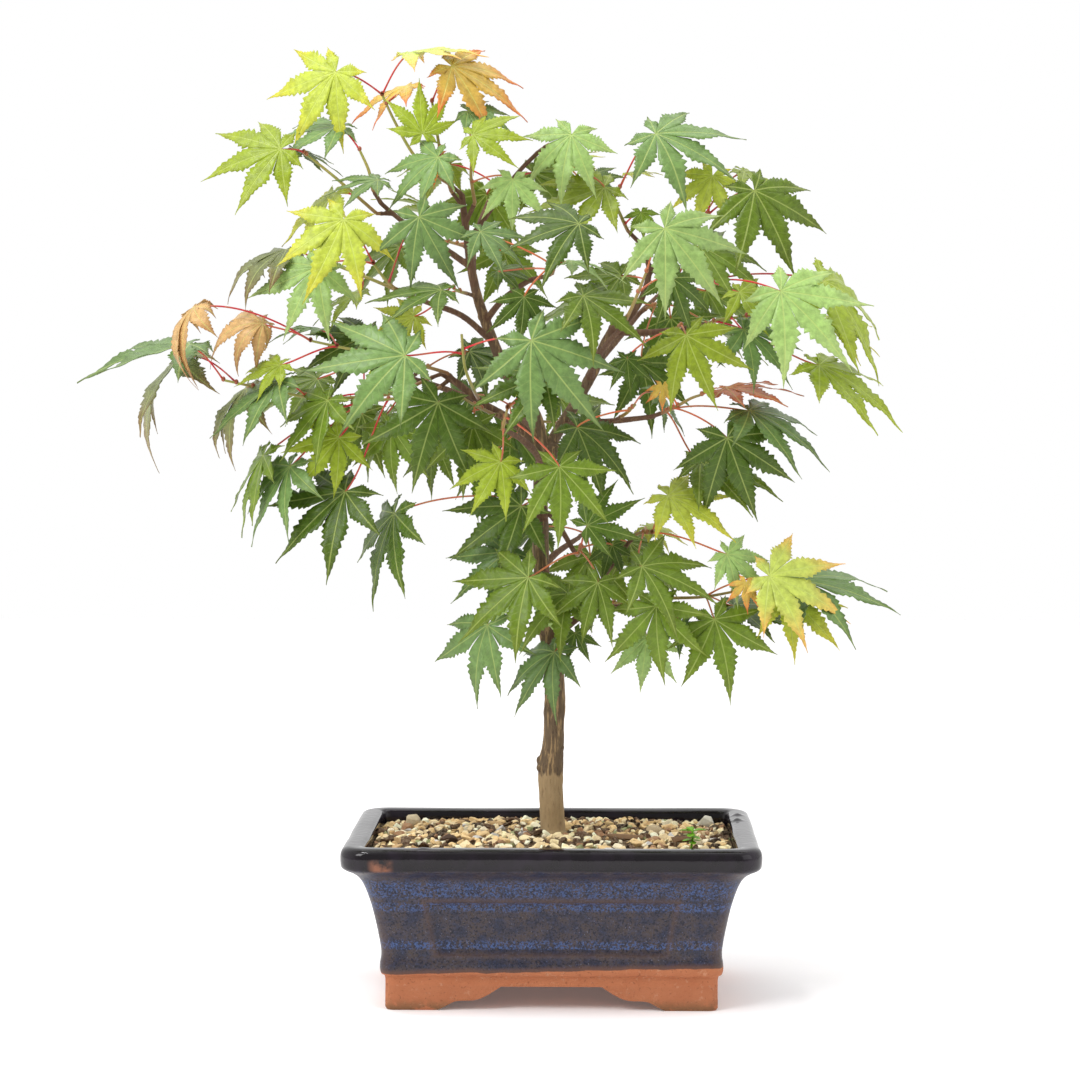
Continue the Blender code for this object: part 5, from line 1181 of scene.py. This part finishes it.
def make_spray(name, spray, seed, materials):
    spur, shoot, tone, letters, stalk_name, leaves = spray
    slot_name = "leaves_" + tone
    chance = random.Random(seed)
    tops = blade_tops(name)
    route = shoot_route(spur, shoot)
    smooth = smooth_route(route, 2.5)
    count = len(smooth) - 1
    shoot_tone = SHOOT_GREEN if stalk_name == "crimson" else blend_colours(SHOOT_GREEN, SHOOT_BROWN, 0.5)
    stems = [tube(smooth, [SHOOT_RADIUS - 0.35 * i / count for i in range(count + 1)], SHOOT_SIDES)]
    tones = []
    for i in range(count + 1):
        tones += [blend_colours(SHOOT_BROWN, shoot_tone, ease(i / count, 0.0, 0.5))] * SHOOT_SIDES
    blades = []
    blade_tones = []
    blade_places = []
    for (share, hub, aim, face, length), letter in zip(leaves, letters):
        way, normal = leaf_frame(aim, face)
        spot = grown_hub(tops, hub, normal)
        lobes, its_tones, places = blade_lobes(spot, way, normal, length, letter, chance)
        blades += lobes
        blade_tones += its_tones
        blade_places += places
        start = along(route, share)
        stalk = stalk_route(start, spot, way, normal)
        steps = len(stalk) - 1
        shares = [i / steps for i in range(steps + 1)]
        swell = [1.25 - 0.35 * ease(t, 0.0, 0.15) + 0.15 * ease(t, 0.92, 1.0) for t in shares]
        stems.append(tube(stalk, [PETIOLE_RADIUS * part for part in swell], STALK_SIDES))
        red = tuple(part * chance.uniform(0.8, 1.15) for part in STALKS[stalk_name])
        for t in shares:
            tones += [blend_colours(red, TONES[letter][0], 0.6 * ease(t, 0.93, 1.0))] * STALK_SIDES
        bud = ball(start + Vector((0, 0, 0.5)), (1.1, 1.1, 1.35), 5)
        stems.append(bud)
        tones += [blend_colours(SHOOT_BROWN, red, 0.35)] * len(bud[0])
    add_piece(name + "_stems", *gather(stems), materials["stem"], name, slot_name, tones=tones)
    dry = sum(letter in DRY_TONES for letter in letters) * 2 > len(letters)
    blade = add_piece(name + "_blades", *gather(blades), materials["dry" if dry else "leaf"], name, slot_name,
                      tones=blade_tones)
    layer = blade.data.uv_layers.new(name="lobe")
    corners = [loop.vertex_index for loop in blade.data.loops]
    layer.data.foreach_set("uv", [part for index in corners for part in blade_places[index]])
    thicken(blade, BLADE_THICKNESS)


def make_leaves():
    materials = {"stem": stem_material(), "leaf": leaf_material("leaf_look", 0.36),
                 "dry": leaf_material("dry_leaf_look", 0.6)}
    for seed, (name, spray) in enumerate(SPRAYS.items()):
        make_spray(name, spray, seed + 1, materials)


# ---------------------------------------------------------------- stage

# The floor is white, and so wide and long that its edges are out of sight; here in metres
FLOOR_REACH = 30.0
FLOOR_BACK = 2.4
FLOOR_TONE = (0.97, 0.955, 0.96)
FLOOR_GLOW = 0.08
WORLD_STRENGTH = 1.0
# The white surroundings are dimmer behind the camera, so that the glaze stays dark
DIM_FRONT = 0.40
# name, place from the pot's centre in metres, its two sides in metres, watts
LAMPS = (("key", (-1.3, -1.2, 1.5), (0.9, 0.9), 20.0), ("fill", (1.5, -0.9, 0.9), (1.2, 1.2), 4.0),
         ("top", (0.1, 0.5, 1.8), (1.4, 1.4), 8.0), ("strip", (-0.45, -0.35, 1.45), (0.5, 0.02), 6.0))
LAMP_AIM = (0, 0, 0.25)


def make_floor():
    corners = ((-FLOOR_REACH, -FLOOR_REACH, 0), (FLOOR_REACH, -FLOOR_REACH, 0), (FLOOR_REACH, FLOOR_BACK, 0),
               (-FLOOR_REACH, FLOOR_BACK, 0))
    mesh = bpy.data.meshes.new("floor")
    mesh.from_pydata(corners, [], [(0, 1, 2, 3)])
    floor = new_object("floor", mesh)
    look = Shading("floor_look")
    look.shader.inputs["Emission Color"].default_value = (1.0, 1.0, 1.0, 1.0)
    look.shader.inputs["Emission Strength"].default_value = FLOOR_GLOW
    mesh.materials.append(look.finish(FLOOR_TONE, 0.9, specular=0.0))


def make_world():
    world = bpy.data.worlds.new("studio")
    bpy.context.scene.world = world
    world.use_nodes = True
    nodes = world.node_tree.nodes
    links = world.node_tree.links
    split = nodes.new("ShaderNodeSeparateXYZ")
    links.new(nodes.new("ShaderNodeTexCoord").outputs["Generated"], split.inputs[0])
    dim = nodes.new("ShaderNodeMapRange")
    dim.interpolation_type = "SMOOTHSTEP"
    for key, value in (("From Min", -0.85), ("From Max", -0.15), ("To Min", DIM_FRONT), ("To Max", 1.0)):
        dim.inputs[key].default_value = value
    links.new(split.outputs[1], dim.inputs["Value"])
    links.new(dim.outputs["Result"], nodes["Background"].inputs["Color"])
    nodes["Background"].inputs["Strength"].default_value = WORLD_STRENGTH


def make_lamps():
    for name, where, size, power in LAMPS:
        light = bpy.data.lights.new(name, "AREA")
        light.shape = "RECTANGLE"
        light.size, light.size_y = size
        light.energy = power
        lamp = new_object(name, light)
        lamp.location = CENTRE + Vector(where)
        aim = CENTRE + Vector(LAMP_AIM) - lamp.location
        lamp.rotation_euler = aim.to_track_quat("-Z", "Y").to_euler()


def make_camera():
    camera = bpy.data.cameras.new("camera")
    camera.lens = CAMERA_LENS
    camera.sensor_width = CAMERA_SENSOR
    obj = new_object("camera", camera)
    obj.location = place(CAMERA_PLACE)
    obj.rotation_euler = (math.radians(90 - CAMERA_PITCH), 0, math.radians(CAMERA_TURN))
    bpy.context.scene.camera = obj
    bpy.context.scene.view_settings.view_transform = "Standard"


make_pot()
make_soil()
make_surface_pieces()
make_seedling()
make_drain_screens()
make_wood()
make_leaves()
make_floor()
make_world()
make_lamps()
make_camera()
